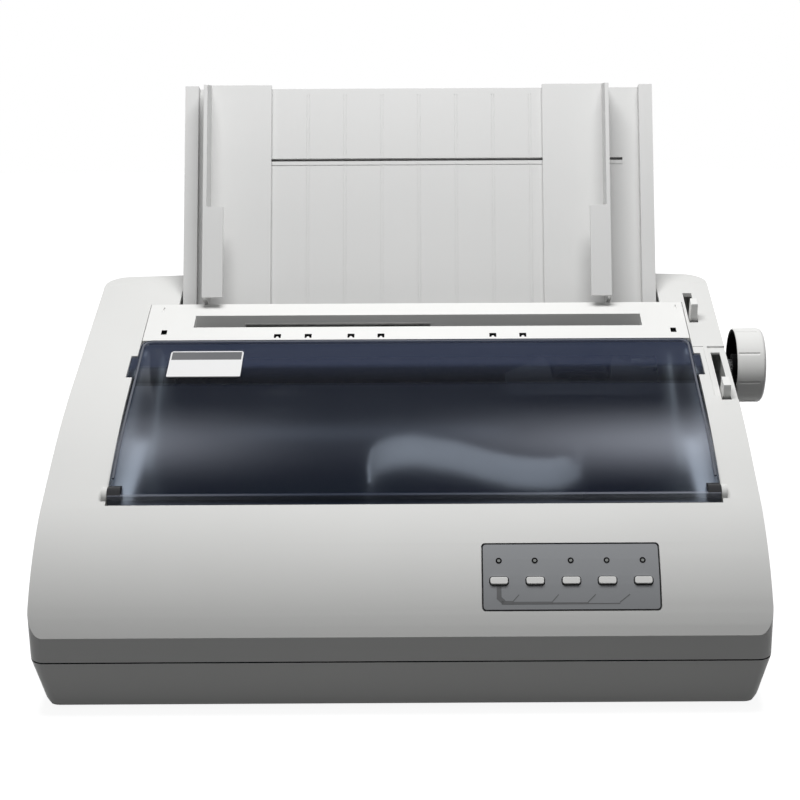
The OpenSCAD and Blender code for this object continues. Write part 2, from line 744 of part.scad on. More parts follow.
module right_side_frame() color("silver") placed() {
    side_plate(frame_r);
    // the belt's idler turns on this bracket
    on_sill() {
        block([idle_x - 6, frame_r + sheet_t / 2], [pulley_y - 6, pulley_y + 6], [27.9, 29.5]);
        translate([idle_x, pulley_y, 28]) cylinder(h = pulley_h[1] - 27.6, d = stud_d);
    }
    // the release lever turns on this stud
    on_sill() {
        rod_x(frame_r + sheet_t / 2, release_x + lever_t + 1.6 - frame_r - sheet_t / 2,
            release_pin_d, release_at);
        rod_x(frame_r + sheet_t / 2, release_x - 0.3 - frame_r - sheet_t / 2, 10, release_at);
    }
}

rail_h = 44;
rail_y = [134, 147];
module front_rail() color("silver") placed() on_sill() {
    block([frame_l, frame_r], rail_y, [rail_h, rail_h + sheet_t]);
    block([frame_l, frame_r], [rail_y[0], rail_y[0] + sheet_t], [rail_h - 10, rail_h + sheet_t / 2]);
}

module platen_bushes() color("ivory") placed() on_sill()
    for (side = [0, 1]) difference() {
        union() {
            rod_x(side ? frame_r : frame_l - sheet_t, sheet_t, bush_d, platen_at);
            rod_x(side ? frame_r + sheet_t : frame_l - sheet_t - 2, 2, bush_d + 4, platen_at);
            rod_x(side ? frame_r - 3 : frame_l, 3, bush_d, platen_at);
        }
        rod_x(side ? frame_r - 4 : frame_l - 5, 10, platen_shaft_d + 2 * run_gap, platen_at);
    }

pan_in = platen_d / 2 + 2.2;
pan_t = 1.2;
module paper_pan() color("gray") placed() on_sill()
    along_x(frame_l, frame_span) polygon(concat(
        [for (i = [0:11]) platen_at + pan_in * [cos(262 + i * 10), sin(262 + i * 10)]],
        [platen_at + [pan_in + 6, 18], platen_at + [pan_in + 7.4, 18]],
        [for (i = [11:-1:0]) platen_at + (pan_in + pan_t) * [cos(262 + i * 10), sin(262 + i * 10)]]
    ));

module paper_sensor() color("black") placed() on_sill() {
    block([frame_r - 8, frame_r], [212, 224], [34, 44]);
    block([frame_r - 7, frame_r - 4], [216, 220], [44, 54.5]);
}

// ---- Electronics ----

module main_board() color("darkgreen") placed()
    block(main_board_x, board_y, [board_z, board_z + board_t]);

module board_chips() color("black") placed() {
    top = board_z + board_t;
    for (i = [0:3]) block([-120 + i * 36, -98 + i * 36], [34, 56], [top, top + 3]);
    for (i = [0:3]) block([-124 + i * 28, -112 + i * 28], [72, 79], [top, top + 2]);
    block([cable_foot[0] - 3, cable_foot[0] + 3], [cable_foot[1] - 5, cable_foot[1] + 5], [top, top + 8]);
    for (i = [0:3]) translate([-128 + i * 14, 94, top]) cylinder(h = 13, d = 8);
}

module power_board() color("darkkhaki") placed() {
    block(power_board_x, board_y, [board_z, board_z + board_t]);
    top = board_z + board_t;
    translate([power_board_x[1] - 20, 36, top]) cylinder(h = 26, d = 18);
    translate([power_board_x[1] - 20, 60, top]) cylinder(h = 26, d = 18);
    block([power_board_x[1] - 36, power_board_x[1] - 6], [84, 87], [top, top + 24]);
}

module transformer() color("goldenrod") placed() {
    top = board_z + board_t;
    block([power_board_x[0] + 12, power_board_x[0] + 54], [34, 68], [top, top + 5]);
    block([power_board_x[0] + 16, power_board_x[0] + 50], [38, 64], [top + 5, top + 27]);
    block([power_board_x[0] + 12, power_board_x[0] + 54], [44, 58], [top + 5, top + 32]);
}

module interface_board() color("darkgreen") placed()
    union() {
        block(port_board_x, port_board_y, [port_board_z, port_board_z + board_t]);
        for (x = [port_board_x[0] + 6, port_board_x[1] - 6])
            translate([x, port_board_y[0] + 6, frame_z]) cylinder(h = port_board_z - frame_z + 0.5, d = 5);
    }

module parallel_port() color("dimgray") placed()
    difference() {
        block(parallel_x, [case_d - 16, case_d + 0.6], [port_z, port_z + parallel_h]);
        block([parallel_x[0] + 5, parallel_x[1] - 5], [case_d - 6, case_d + 2],
            [port_z + 2.5, port_z + parallel_h - 2.5]);
    }

module usb_port() color("silver") placed()
    difference() {
        block(usb_x, [case_d - 16, case_d + 0.4], [port_z, port_z + usb_h]);
        block([usb_x[0] + 1.6, usb_x[1] - 1.6], [case_d - 9, case_d + 2],
            [port_z + 1.6, port_z + usb_h - 1.6]);
    }

module power_inlet() color("black") placed()
    difference() {
        union() {
            block([inlet_x[0], inlet_x[1]], [case_d - 22, case_d], inlet_z);
            block([inlet_x[0] - 4, inlet_x[1] + 4], [case_d, case_d + 1.6],
                [inlet_z[0] - 1, inlet_z[1] + 1.5]);
        }
        difference() {
            block([inlet_x[0] + 2, inlet_x[1] - 2], [case_d - 16, case_d + 3],
                [inlet_z[0] + 2, inlet_z[1] - 2]);
            for (p = [[-6.5, -2], [0, 2], [6.5, -2]])
                translate([(inlet_x[0] + inlet_x[1]) / 2 + p[0] - 1, case_d - 17,
                    (inlet_z[0] + inlet_z[1]) / 2 + p[1] - 2]) cube([2, 11, 4]);
        }
    }

rocker_at = [case_d - 1, (switch_z[0] + switch_z[1]) / 2];
rocker_half = 5.4;
rocker_pin_d = 2.4;
module switch_housing() color("black") placed()
    difference() {
        union() {
            block(switch_x, [case_d - 16, case_d], switch_z);
            block([switch_x[0] - 2, switch_x[1] + 2], [case_d, case_d + 1.2],
                [switch_z[0] - 2, switch_z[1] + 2]);
        }
        block([switch_x[0] + 2, switch_x[1] - 2], [case_d - 11, case_d + 3],
            [rocker_at[1] - rocker_half - 1, rocker_at[1] + rocker_half + 1]);
        rod_x(switch_x[0] + 0.8, switch_x[1] - switch_x[0] - 1.6, rocker_pin_d + 2 * run_gap,
            rocker_at - [1.5, 0]);
    }

module power_rocker() color("darkred") placed() {
    along_x(switch_x[0] + 2.3, switch_x[1] - switch_x[0] - 4.6)
        translate(rocker_at) rotate(-6) polygon([
            [-4, -rocker_half], [2.6, -rocker_half], [1.4, 0], [2.6, rocker_half], [-4, rocker_half]
        ]);
    rod_x(switch_x[0] + 1, switch_x[1] - switch_x[0] - 2, rocker_pin_d, rocker_at - [1.5, 0]);
}

// ---- Control panel ----

module button_prism(grow, z0, z1) {
    w = button_size[0] / 2 + grow;
    h = button_size[1] / 2 + grow;
    r = 1.2 + grow;
    translate([0, 0, z0]) linear_extrude(z1 - z0) polygon(soft_rect(-w, -h, w, h, [r, r, r, r]));
}

module control_panel() color("darkgray") placed()
    difference() {
        intersection() {
            panel_sheet(panel_x, panel_x + panel_w, panel_len, 0, panel_t);
            panel_outline(0);
        }
        for (i = [0:button_count - 1]) {
            at_panel(button_x0 + i * button_pitch, button_s) button_prism(button_clear, -3, 2);
            at_panel(button_x0 + i * button_pitch, button_s + lamp_rise)
                translate([0, 0, -3]) cylinder(h = 6, d = lamp_d + 0.2);
        }
    }

module status_lamps() color("black") placed()
    for (i = [0:button_count - 1])
        at_panel(button_x0 + i * button_pitch, button_s + lamp_rise)
            translate([0, 0, -panel_board_drop + 0.5]) cylinder(h = panel_board_drop - 0.4, d = lamp_d);

module button(i) color("whitesmoke") placed()
    at_panel(button_x0 + (i - 1) * button_pitch, button_s) {
        button_prism(0, -6, button_out);
        button_prism(1.2, -5.2, -4);
    }
module button_1() button(1);
module button_2() button(2);
module button_3() button(3);
module button_4() button(4);
module button_5() button(5);

module panel_board() color("darkgreen") placed() {
    at_panel(panel_x + panel_w / 2, 0)
        translate([-panel_w / 2, -15, -panel_board_drop - board_t]) cube([panel_w, 30, board_t]);
    // one switch under each button
    for (i = [0:button_count - 1])
        at_panel(button_x0 + i * button_pitch, button_s)
            translate([-3, -3, -panel_board_drop - 0.2])
                cube([6, 6, panel_board_drop - 6 - button_travel]);
}

// ---- Covers ----

cover_front_y = hinge_y - knuckle_d / 2;
cover_ys = concat(
    [for (i = [0:10]) cover_front_y + (crease_y - cover_front_y) * i / 10],
    [cover_back_y]
);

// The space below the smoke cover's outer face, drawn in by d, down to drop below it
module cover_space(d, drop)
    on_sill() intersection() {
        along_x(cover_x[0], cover_w) polygon(concat(
            [for (y = cover_ys) [y, cover_h(y) - d]],
            [for (i = [len(cover_ys) - 1:-1:0]) [cover_ys[i], cover_h(cover_ys[i]) - drop]]
        ));
        linear_extrude(200) polygon(soft_rect(cover_x[0] + d, cover_front_y + d, cover_x[1] - d,
            cover_back_y - d, [0, 0, cover_corner_r - d, cover_corner_r - d]));
    }

module front_cover() color("#2a3040", 0.75) placed()
    difference() {
        union() {
            difference() {
                cover_space(0, cover_skirt);
                cover_space(cover_t, cover_skirt + 3);
            }
            on_sill() for (x = [cover_x[0], cover_x[1] - knuckle_w])
                rod_x(x, knuckle_w, knuckle_d, [hinge_y, hinge_h]);
            for (side = [-1, 1])
                on_sill() finger_tab(side);
        }
        on_sill() for (x = [cover_x[0] - 1, cover_x[1] - pin_reach - 0.3])
            rod_x(x, pin_reach + 1.3, hinge_pin_d + 2 * run_gap, [hinge_y, hinge_h]);
    }

module finger_tab(side) {
    edge = mech_x + side * cover_w / 2;
    tip = edge + side * tab_out;
    low = cover_h(tab_y - tab_w / 2) - 3.4;
    along_x(min(edge - side, tip), tab_out + 1) polygon([
        [tab_y - tab_w / 2, low], [tab_y - tab_w / 2, low + 2.2],
        [tab_y + tab_w / 2, cover_h(tab_y + tab_w / 2) - 1.2],
        [tab_y + tab_w / 2, cover_h(tab_y + tab_w / 2) - 3.4]
    ]);
}

label_t = 0.3;
module cover_label() color("white") placed() on_sill() {
    y0 = label_place[1];
    y1 = y0 + label_size[1];
    intersection() {
        along_x(label_place[0], label_size[0]) polygon([
            [y0, cover_h(y0)], [y0, cover_h(y0) + label_t], [y1, cover_h(y1) + label_t], [y1, cover_h(y1)]
        ]);
        linear_extrude(200) polygon(soft_rect(label_place[0], y0, label_place[0] + label_size[0], y1,
            [2, 2, 2, 2]));
    }
}

// The space below the tear-off cover's outer face, drawn in by d
module strip_space(d, drop) {
    ys = [strip_front_y + d, strip_back_y - d];
    on_sill() along_x(strip_x[0] + d, strip_w - 2 * d) polygon([
        [ys[0], strip_h(ys[0]) - drop], [ys[0], strip_h(ys[0]) - d],
        [ys[1], strip_h(ys[1]) - d], [ys[1], strip_h(ys[1]) - drop]
    ]);
}

exit_x = [mech_x + 1 - exit_w / 2, mech_x + 1 + exit_w / 2];
exit_wall = 1.5;
exit_depth = 10;
exit_notch_x = [-98.9, 15.7];
hook_x = [-77.1, -58.5, -32.5, -14.3, 53.6, 71.8];
hook_y = 201.8;
hole_x = [-146.5, 163.7];
hole_y = 206.6;
mark_x = [-150.2, 168];
module tear_off_cover() color("white") placed()
    difference() {
        union() {
            difference() {
                strip_space(0, strip_skirt);
                strip_space(strip_t, strip_skirt + 4);
            }
            // walls round the paper exit slot
            on_sill() along_x(exit_x[0] - exit_wall, exit_w + 2 * exit_wall) polygon([
                [exit_y[0] - exit_wall, strip_h(exit_y[0]) - 4],
                [exit_y[0] - exit_wall, strip_h(exit_y[0]) - 1],
                [exit_y[1] + exit_wall, strip_h(exit_y[1]) - 1],
                [exit_y[1] + exit_wall, strip_h(exit_y[1]) - exit_depth],
                [exit_y[1], strip_h(exit_y[1]) - exit_depth]
            ]);
            on_sill() rod_x(strip_x[0] - 2.6, strip_w + 5.2, strip_pin_d, strip_axis);
            on_sill() for (x = [strip_x[0], strip_x[1] - 6])
                rod_x(x, 6, strip_pin_d + 3.4, strip_axis);
        }
        block(exit_x, exit_y, [sill_z + 60, sill_z + 130]);
        // the notch in the slot's rear wall
        block(exit_notch_x, [exit_y[1] - 1, exit_y[1] + exit_wall + 1],
            [sill_z + 60, sill_z + strip_h(exit_y[1]) - 5]);
        // the pins are short, so the long rod between them goes
        on_sill() block([strip_x[0] + 6, strip_x[1] - 6], [strip_axis[0] - 4, strip_axis[0] + 1.4],
            [strip_axis[1] - 4, strip_axis[1] + 2]);
        for (x = hole_x) block([x - 1.7, x + 1.7], [hole_y - 2.5, hole_y + 2.5], [sill_z + 60, sill_z + 130]);
        for (x = hook_x) translate([x, hook_y, sill_z + 60]) linear_extrude(70)
            polygon([[-2.1, -2.2], [-2.1, 2.2], [2.1, 2.2], [2.1, -2.2], [1.1, -2.2], [0.5, -0.5],
                [-0.5, -0.5], [-1.1, -2.2]]);
        for (x = mark_x) on_sill() translate([x, 233.6, strip_h(233) - 0.5]) linear_extrude(4)
            polygon([[-0.9, -3], [0.3, 3], [0.9, -3]]);
    }

// ---- Paper support ----

// X across the row, Y to the back of the leaning plate and Z up along it, from its pivot
module at_support()
    on_sill() translate([0, support_y, support_h]) rotate([-support_lean, 0, 0]) children();

slot_low = support_len - guide_slot_drop - guide_slot_h / 2;
slot_x = [-129, 139];
channel_in = 2.9;
guide_gap = 0.35;
module paper_support() color("gainsboro") placed() at_support()
    difference() {
        union() {
            block([support_x - support_w / 2, support_x + support_w / 2],
                [-support_t / 2, support_t / 2], [-3.5, support_len]);
            for (side = [-1, 1]) {
                out = support_x + side * support_w / 2;
                block([min(out, out - side * rib_w), max(out, out - side * rib_w)],
                    [-support_t / 2 - rib_out, support_t / 2], [9, support_len]);
            }
            rod_x(support_x - support_w / 2 - 7, support_w + 14, support_pin_d, [0, 0]);
            rod_x(support_x - support_w / 2, support_w, support_pin_d + 3, [0, 0]);
            // closed channel behind the slot, in which the guides' clips run
            difference() {
                block([slot_x[0] - 4, slot_x[1] + 4], [support_t / 2 - 0.5, support_t / 2 + channel_in + 1.2],
                    [slot_low - 6.2, slot_low + guide_slot_h + 6.2]);
                block([slot_x[0] - 2, slot_x[1] + 2], [0, support_t / 2 + channel_in],
                    [slot_low - 5, slot_low + guide_slot_h + 5]);
            }
        }
        // guide slot, and the fine line under it
        block(slot_x, [-support_t, support_t / 2 + channel_in], [slot_low, slot_low + guide_slot_h]);
        block(slot_x, [-support_t / 2 - 1, -support_t / 2 + 0.4], [slot_low - 3, slot_low - 2.4]);
        for (k = [-4:4]) for (dx = [-0.8, 0.8])
            block([support_x + k * groove_pitch + dx - 0.2, support_x + k * groove_pitch + dx + 0.2],
                [-support_t / 2 - 1, -support_t / 2 + 0.3], [10, support_len - 4]);
    }

// One edge guide; side is -1 for the left one and 1 for the right one
guide_low = 9.4;
flange_low = guide_low + 2.2;
guide_y1 = -support_t / 2 - guide_gap;
guide_y0 = guide_y1 - guide_t;
module paper_guide(side) {
    fence_x = paper_x + side * paper_w / 2;
    inner_x = fence_x - side * guide_w;
    outer_x = fence_x + side * fence_t;
    flange_x = fence_x - side * flange_w;
    clip_x = fence_x - side * guide_w / 2;
    block([min(outer_x, inner_x), max(outer_x, inner_x)], [guide_y0, guide_y1], [guide_low, guide_top]);
    along_x(min(fence_x, outer_x), fence_t) polygon([
        [guide_y1, guide_low], [guide_y1, guide_top], [guide_y0, guide_top],
        [guide_y0 - fence_out, guide_top - fence_slope], [guide_y0 - fence_out, flange_low],
        [guide_y0, guide_low]
    ]);
    block([min(flange_x, outer_x), max(flange_x, outer_x)],
        [guide_y0 - fence_out, guide_y0 - fence_out + guide_t], [flange_low, guide_top - flange_drop]);
    // the clip that runs in the support's slot
    block([clip_x - 7, clip_x + 7], [guide_y0 + 1, support_t / 2 + guide_gap + 0.1],
        [slot_low + 0.3, slot_low + guide_slot_h - 0.3]);
    block([clip_x - 7, clip_x + 7], [support_t / 2 + guide_gap, support_t / 2 + guide_gap + 1.8],
        [slot_low - 3.4, slot_low + guide_slot_h + 3.4]);
}
module left_paper_guide() color("gainsboro") placed() at_support() paper_guide(-1);
module right_paper_guide() color("gainsboro") placed() at_support() paper_guide(1);

// ---- Platen and paper feed ----

module platen_roller() color("#303030") placed() on_sill()
    difference() {
        rod_x(mech_x + 1 - platen_len / 2, platen_len, platen_d, platen_at);
        rod_x(mech_x - platen_len / 2, platen_len + 4, platen_shaft_d, platen_at);
    }

module platen_shaft() color("silver") placed() on_sill()
    rod_x(gear_x - 2, rim_x + knob_w - 6 - gear_x + 2, platen_shaft_d, platen_at);

// Side points of one involute tooth at radius r, for a gear of n teeth
pressure_a = 20;
backlash = 0.12;
function tooth_half_angle(n, r) =
    let (
        pitch_r = gear_m * n / 2,
        base_r = pitch_r * cos(pressure_a),
        inv = tan(pressure_a) - pressure_a * PI / 180,
        a = r > base_r ? acos(base_r / r) : 0,
        here = tan(a) - a * PI / 180
    )
    (PI / 2 / n - backlash / pitch_r + inv - here) * 180 / PI;

// A spur gear with its first tooth on the local Y axis's direction turned by phase
module gear_outline(n, phase) {
    pitch_r = gear_m * n / 2;
    tip_r = pitch_r + 0.85 * gear_m;
    root_r = pitch_r - 1.15 * gear_m;
    base_r = max(root_r + 0.05, pitch_r * cos(pressure_a));
    radii = [base_r, (base_r + pitch_r) / 2, pitch_r, (pitch_r + tip_r) / 2, tip_r];
    rotate(phase) polygon([
        for (t = [0:n - 1]) let (mid = t * 360 / n) each concat(
            [let (w = tooth_half_angle(n, base_r)) root_r * [cos(mid - w), sin(mid - w)]],
            [for (r = radii) let (w = tooth_half_angle(n, r)) r * [cos(mid - w), sin(mid - w)]],
            [for (i = [4:-1:0]) let (r = radii[i], w = tooth_half_angle(n, r))
                r * [cos(mid + w), sin(mid + w)]],
            [let (w = tooth_half_angle(n, base_r)) root_r * [cos(mid + w), sin(mid + w)]]
        )
    ]);
}

// Turn of a gear of m teeth that meshes with one of n teeth and phase p, lying in direction d from it
function meshed(d, p, n, m) = d + 180 - (0.5 - (d - p) * n / 360) * 360 / m;
idler_phase = meshed(idler_dir, 0, platen_teeth, idler_teeth);
tractor_phase = meshed(tractor_dir, idler_phase, idler_teeth, idler_teeth);
pinion_phase = meshed(pinion_dir, idler_phase, idler_teeth, pinion_teeth);

module gear(at, n, phase, hub_d, bore_d)
    on_sill() difference() {
        union() {
            along_x(gear_x, gear_w) translate(at) gear_outline(n, phase);
            rod_x(gear_x - 1, 1.5, hub_d, at);
        }
        rod_x(gear_x - 3, gear_w + 6, bore_d, at);
    }

module platen_gear() color("ivory") placed()
    gear(platen_at, platen_teeth, 0, 16, platen_shaft_d);
module feed_idler() color("ivory") placed()
    gear(idler_at, idler_teeth, idler_phase, 10, stud_d + 2 * run_gap);
module feed_pinion() color("goldenrod") placed() {
    gear(pinion_at, pinion_teeth, pinion_phase, 8, 2.8);
    on_sill() rod_x(gear_x - 1, frame_l - gear_x + 11, 3, pinion_at);
}

module feed_motor() color("darkgray") placed() on_sill()
    difference() {
        union() {
            rod_x(frame_l, feed_motor_w, feed_motor_d, pinion_at);
            rod_x(frame_l - sheet_t - 1, sheet_t + 2, 10, pinion_at);
        }
        rod_x(frame_l - 5, 18, 3 + 2 * run_gap, pinion_at);
    }

// Fluted cup with a domed end and a hub on the shaft
module platen_knob() color("whitesmoke") placed() on_sill()
    translate([rim_x, platen_at[0], platen_at[1]]) rotate([0, 90, 0]) {
        r = knob_d / 2;
        difference() {
            rotate_extrude($fn = 96) polygon([
                [0, knob_w - knob_wall - 1.2], [r - 5, knob_w - knob_wall - 1.2],
                [r - knob_wall, knob_w - 6], [r - knob_wall, 0], [r - 0.6, 0], [r, 0.8],
                [r, knob_w - 2.6], [r - 0.5, knob_w - 1.4], [r - 1.6, knob_w - 0.6],
                [r - 5, knob_w - 0.2], [0, knob_w]
            ]);
            for (i = [0:knob_grooves - 1])
                rotate(i * 360 / knob_grooves + 5) translate([r + 0.4, 0, 0.8])
                    cylinder(h = knob_w - 5.2, d = 1.9);
            translate([0, 0, -1]) cylinder(h = knob_w - 5, d = platen_shaft_d);
        }
        difference() {
            cylinder(h = knob_w - knob_wall, d = 14);
            translate([0, 0, -1]) cylinder(h = knob_w - 5, d = platen_shaft_d);
        }
    }

module tractor_shaft() color("silver") placed() {
    on_sill() rod_x(gear_x - 2, frame_r + sheet_t + 3 - gear_x, tractor_shaft_d, tractor_at);
    gear(tractor_at, idler_teeth, tractor_phase, 12, tractor_shaft_d - 0.4);
}

module tractor_rod() color("silver") placed() on_sill()
    rod_x(frame_l - sheet_t, frame_span + 2 * sheet_t, tractor_rod_d, rod_at);

tractor_x = [-118, 104];
tractor_top = tractor_at[1] + 9;
module tractor(x0) on_sill()
    difference() {
        union() {
            along_x(x0, tractor_w) polygon([
                rod_at + [-6, -6], rod_at + [-6, 8], [rod_at[0] - 3, tractor_top],
                [tractor_at[0] + 7, tractor_top], tractor_at + [9, 2], tractor_at + [7, -8]
            ]);
            for (i = [0:2]) translate([x0 + tractor_w / 2, rod_at[0] + 1 + i * 7, tractor_top - 1])
                cylinder(h = 3, d = 3);
            // ears of the lid's hinge
            for (y = [rod_at[0] - 2.5, tractor_at[0] + 3])
                block([x0, x0 + 4], [y, y + 3], [tractor_top - 2, tractor_top + 4.6]);
        }
        rod_x(x0 - 1, tractor_w + 2, tractor_shaft_d + 2 * run_gap, tractor_at);
        rod_x(x0 - 1, tractor_w + 2, tractor_rod_d + 2 * run_gap, rod_at);
        translate([x0 + 2, rod_at[0] - 3, tractor_top + 2.4]) rotate([-90, 0, 0])
            cylinder(h = 26, d = 2.1);
    }

module tractor_lid(x0) on_sill() {
    y0 = rod_at[0] + 1;
    y1 = tractor_at[0] + 2.5;
    translate([x0 + 2, rod_at[0] - 2.5, tractor_top + 2.4]) rotate([-90, 0, 0])
        cylinder(h = tractor_at[0] + 6 - rod_at[0] + 2.5, d = 2);
    translate([x0 + 2, y0, tractor_top + 2.4]) rotate([-90, 0, 0]) cylinder(h = y1 - y0, d = 4.4);
    difference() {
        block([x0 + 2, x0 + tractor_w], [y0, y1], [tractor_top + 3, tractor_top + 4.6]);
        block([x0 + tractor_w / 2 - 2.4, x0 + tractor_w / 2 + 2.4], [y0 - 1, y1 - 3],
            [tractor_top, tractor_top + 8]);
    }
}
module left_tractor() color("#404448") placed() tractor(tractor_x[0]);
module right_tractor() color("#404448") placed() tractor(tractor_x[1]);
module left_tractor_lid() color("#505458") placed() tractor_lid(tractor_x[0]);
module right_tractor_lid() color("#505458") placed() tractor_lid(tractor_x[1]);

roller_w = 16;
module pressure_rollers() color("#404040") placed() on_sill() {
    rod_x(frame_l - sheet_t - 2, frame_span + 2 * sheet_t + 4, roller_rod_d, roller_at);
    for (i = [-2:2]) rod_x(mech_x + 1 + i * 52 - roller_w / 2, roller_w, roller_d, roller_at);
}

// ---- Levers ----

module guide_shaft() color("silver") placed() on_sill()
    rod_x(frame_l - sheet_t - 2, gap_lever_x + lever_t - 0.4 - frame_l + sheet_t + 2, guide_d, guide_at);

lever_tip_y = 141.5;
module thickness_lever() color("whitesmoke") placed() on_sill()
    difference() {
        along_x(gap_lever_x, lever_t) polygon([
            guide_at + [-8, -6], guide_at + [-9, 4], [lever_tip_y - 5.5, roof_h(lever_tip_y) + 1],
            [lever_tip_y - 5, roof_h(lever_tip_y) + 6.4], [lever_tip_y + 4.5, roof_h(lever_tip_y) + 7.6],
            [lever_tip_y + 5.2, roof_h(lever_tip_y) + 1.2], guide_at + [4, 8], guide_at + [9, 2],
            guide_at + [6, -7]
        ]);
        rod_x(gap_lever_x - 1, lever_t + 2, guide_d, guide_at);
    }

release_tip_y = 222;
module release_lever() color("whitesmoke") placed() on_sill()
    difference() {
        along_x(release_x, lever_t) polygon([
            release_at + [-6, -4], [release_at[0] - 10, release_at[1] + 20],
            [release_tip_y - 3.4, roof_h(release_tip_y) - 2],
            [release_tip_y - 3.6, roof_h(release_tip_y) + 10.6],
            [release_tip_y + 2.6, roof_h(release_tip_y) + 12.2],
            [release_tip_y + 4.4, roof_h(release_tip_y)],
            [release_at[0] + 2, release_at[1] + 14], release_at + [6.5, 2], release_at + [4, -6]
        ]);
        rod_x(release_x - 1, lever_t + 2, release_pin_d + 2 * run_gap, release_at);
    }

// ---- Carriage ----

head_x = mech_x + 1 + carriage_x;
pulley_h = [30.5, 37.9];
belt_h = 31;
clamp_w = 16;
carriage_y = [138.6, 196];
carriage_h = [38.5, 57];
foot_gap = 0.3;
module carriage() color("#2c2e30") placed() on_sill() translate([head_x, 0, 0])
    difference() {
        union() {
            block([-carriage_w / 2, carriage_w / 2], carriage_y, carriage_h);
            // uprights that carry the ribbon cartridge
            for (side = [-1, 1])
                block([side > 0 ? carriage_w / 2 - 2.5 : -carriage_w / 2,
                    side > 0 ? carriage_w / 2 : -carriage_w / 2 + 2.5], [150, 168], [carriage_h[1] - 1, 74]);
            // seat of the print head
            block([-10, 10], [174, 188], [carriage_h[1] - 1, platen_at[1] - head_d / 2 + 0.3]);
            // clamp that holds the belt
            block([-clamp_w / 2, clamp_w / 2], [pulley_y + belt_r - 2.4, pulley_y + belt_r + 3.6],
                [belt_h - 1, carriage_h[0] + 1]);
        }
        rod_x(-carriage_w, 2 * carriage_w, guide_d + 2 * run_gap, guide_at);
        // the foot's groove round the rail
        block([-carriage_w, carriage_w], [carriage_y[0] - 1, rail_y[1] + 0.6],
            [rail_h - foot_gap, rail_h + sheet_t + foot_gap]);
        block([-clamp_w, clamp_w], [pulley_y + belt_r - 0.4, pulley_y + belt_r + belt_t + 0.4],
            [belt_h - 2, belt_h + belt_w + 0.4]);
        // the print head lies in this seat
        translate([0, 170, platen_at[1]]) rotate([-90, 0, 0]) cylinder(h = 24, d = head_d);
        block([-16, 16], [170, 190], [platen_at[1] - 13.2, platen_at[1]]);
    }

head_y = [172, 187];
nose_y = 203.2;
fin_count = 5;
fin_pitch = 2.7;
module print_head() color("#505358") placed() on_sill() translate([head_x, 0, 0]) {
    translate([0, head_y[0], platen_at[1]]) rotate([-90, 0, 0])
        cylinder(h = head_y[1] - head_y[0], d = head_d);
    // the tapered nose that holds the wires
    along_x(-6, 12) polygon([
        [head_y[1] - 1, platen_at[1] - 11], [head_y[1] - 1, platen_at[1] + 11],
        [nose_y, platen_at[1] + 5], [nose_y, platen_at[1] - 5]
    ]);
    // cooling fins, cut away where the head sits on the carriage
    for (i = [0:fin_count - 1]) difference() {
        translate([0, head_y[0] + 1.4 + i * fin_pitch, platen_at[1]]) rotate([-90, 0, 0])
            linear_extrude(1.3) polygon(soft_rect(-15.5, -15, 15.5, 12.6, [4, 4, 4, 4]));
        block([-11, 11], [head_y[0] - 1, head_y[1] + 3], [40, platen_at[1] - head_d / 2 + 2]);
    }
}

cartridge_h = [74, 84.6];
module ribbon_cartridge() color("#1c1c1e") placed() on_sill() translate([head_x, 0, 0]) {
    h = cartridge_h[1] - cartridge_h[0];
    w = cartridge_w / 2;
    translate([0, 0, cartridge_h[0]]) linear_extrude(h) polygon([
        [-w, 150], [-w + 6, 147], [w - 6, 147], [w, 150], [w, 180], [30, 196], [24, 203.6], [21, 203.6],
        [19, 196], [17, 171], [-17, 171], [-19, 196], [-21, 203.6], [-24, 203.6], [-30, 196], [-w, 180]
    ]);
    // the ribbon between the two arms, across the head's nose
    block([-24, 24], [203.6, 204], [platen_at[1] - 3.5, cartridge_h[0] + 4]);
    // the ribbon's tightening knob
    translate([-30, 162, cartridge_h[1] - 0.5]) cylinder(h = 1.7, d = 12);
}

// The flat cable stands on edge and loops from its connector in front to the carriage
cable_t = 0.6;
cable_h = [46.6, 64];
cable_path = concat(
    [cable_foot, cable_foot + [-1, 10], cable_foot + [0, 24]],
    [for (i = [0:8]) [4, 108] + 22 * [cos(180 - i * 15), sin(180 - i * 15)]],
    [[30, 122], [46, 112], [62, 104], [78, 101]],
    [for (i = [0:6]) [82, 120] + 19 * [cos(-90 + i * 15), sin(-90 + i * 15)]],
    [[101.5, 128], [102, 138.3]]
);
module head_cable() color("whitesmoke") placed() {
    on_sill() translate([0, 0, cable_h[0]]) linear_extrude(cable_h[1] - cable_h[0])
        for (i = [0:len(cable_path) - 2]) {
            a = cable_path[i];
            b = cable_path[i + 1];
            n = cable_t / 2 * [a[1] - b[1], b[0] - a[0]] / norm(b - a);
            e = 0.12 * (b - a) / norm(b - a);
            polygon([a + n - e, b + n + e, b - n + e, a - n - e]);
        }
    // its lower end stands in the board's connector
    block([cable_foot[0] - 0.6, cable_foot[0] + 0.6], [cable_foot[1] - 4, cable_foot[1] + 1],
        [board_z + board_t + 8, sill_z + cable_h[1]]);
}

drive_x = -122;
idle_x = 145;
motor_top = 24;
module carriage_motor() color("darkgray") placed() difference() {
    union() {
        translate([drive_x, pulley_y, frame_z]) cylinder(h = sill_z + motor_top - frame_z, d = carriage_motor_d);
        block([drive_x - 21, drive_x + 21], [pulley_y - 14, pulley_y + 14],
            [sill_z + motor_top - 1, sill_z + motor_top + 1]);
    }
    translate([drive_x, pulley_y, sill_z]) cylinder(h = 40, d = 4 + 2 * run_gap);
}

module pulley(z0, z1, bore) difference() {
    union() {
        translate([0, 0, z0]) cylinder(h = z1 - z0, r = belt_r - 0.3);
        translate([0, 0, z0 - 0.6]) cylinder(h = 0.8, r = belt_r + 1.4);
    }
    translate([0, 0, z0 - 2]) cylinder(h = 20, d = bore);
}

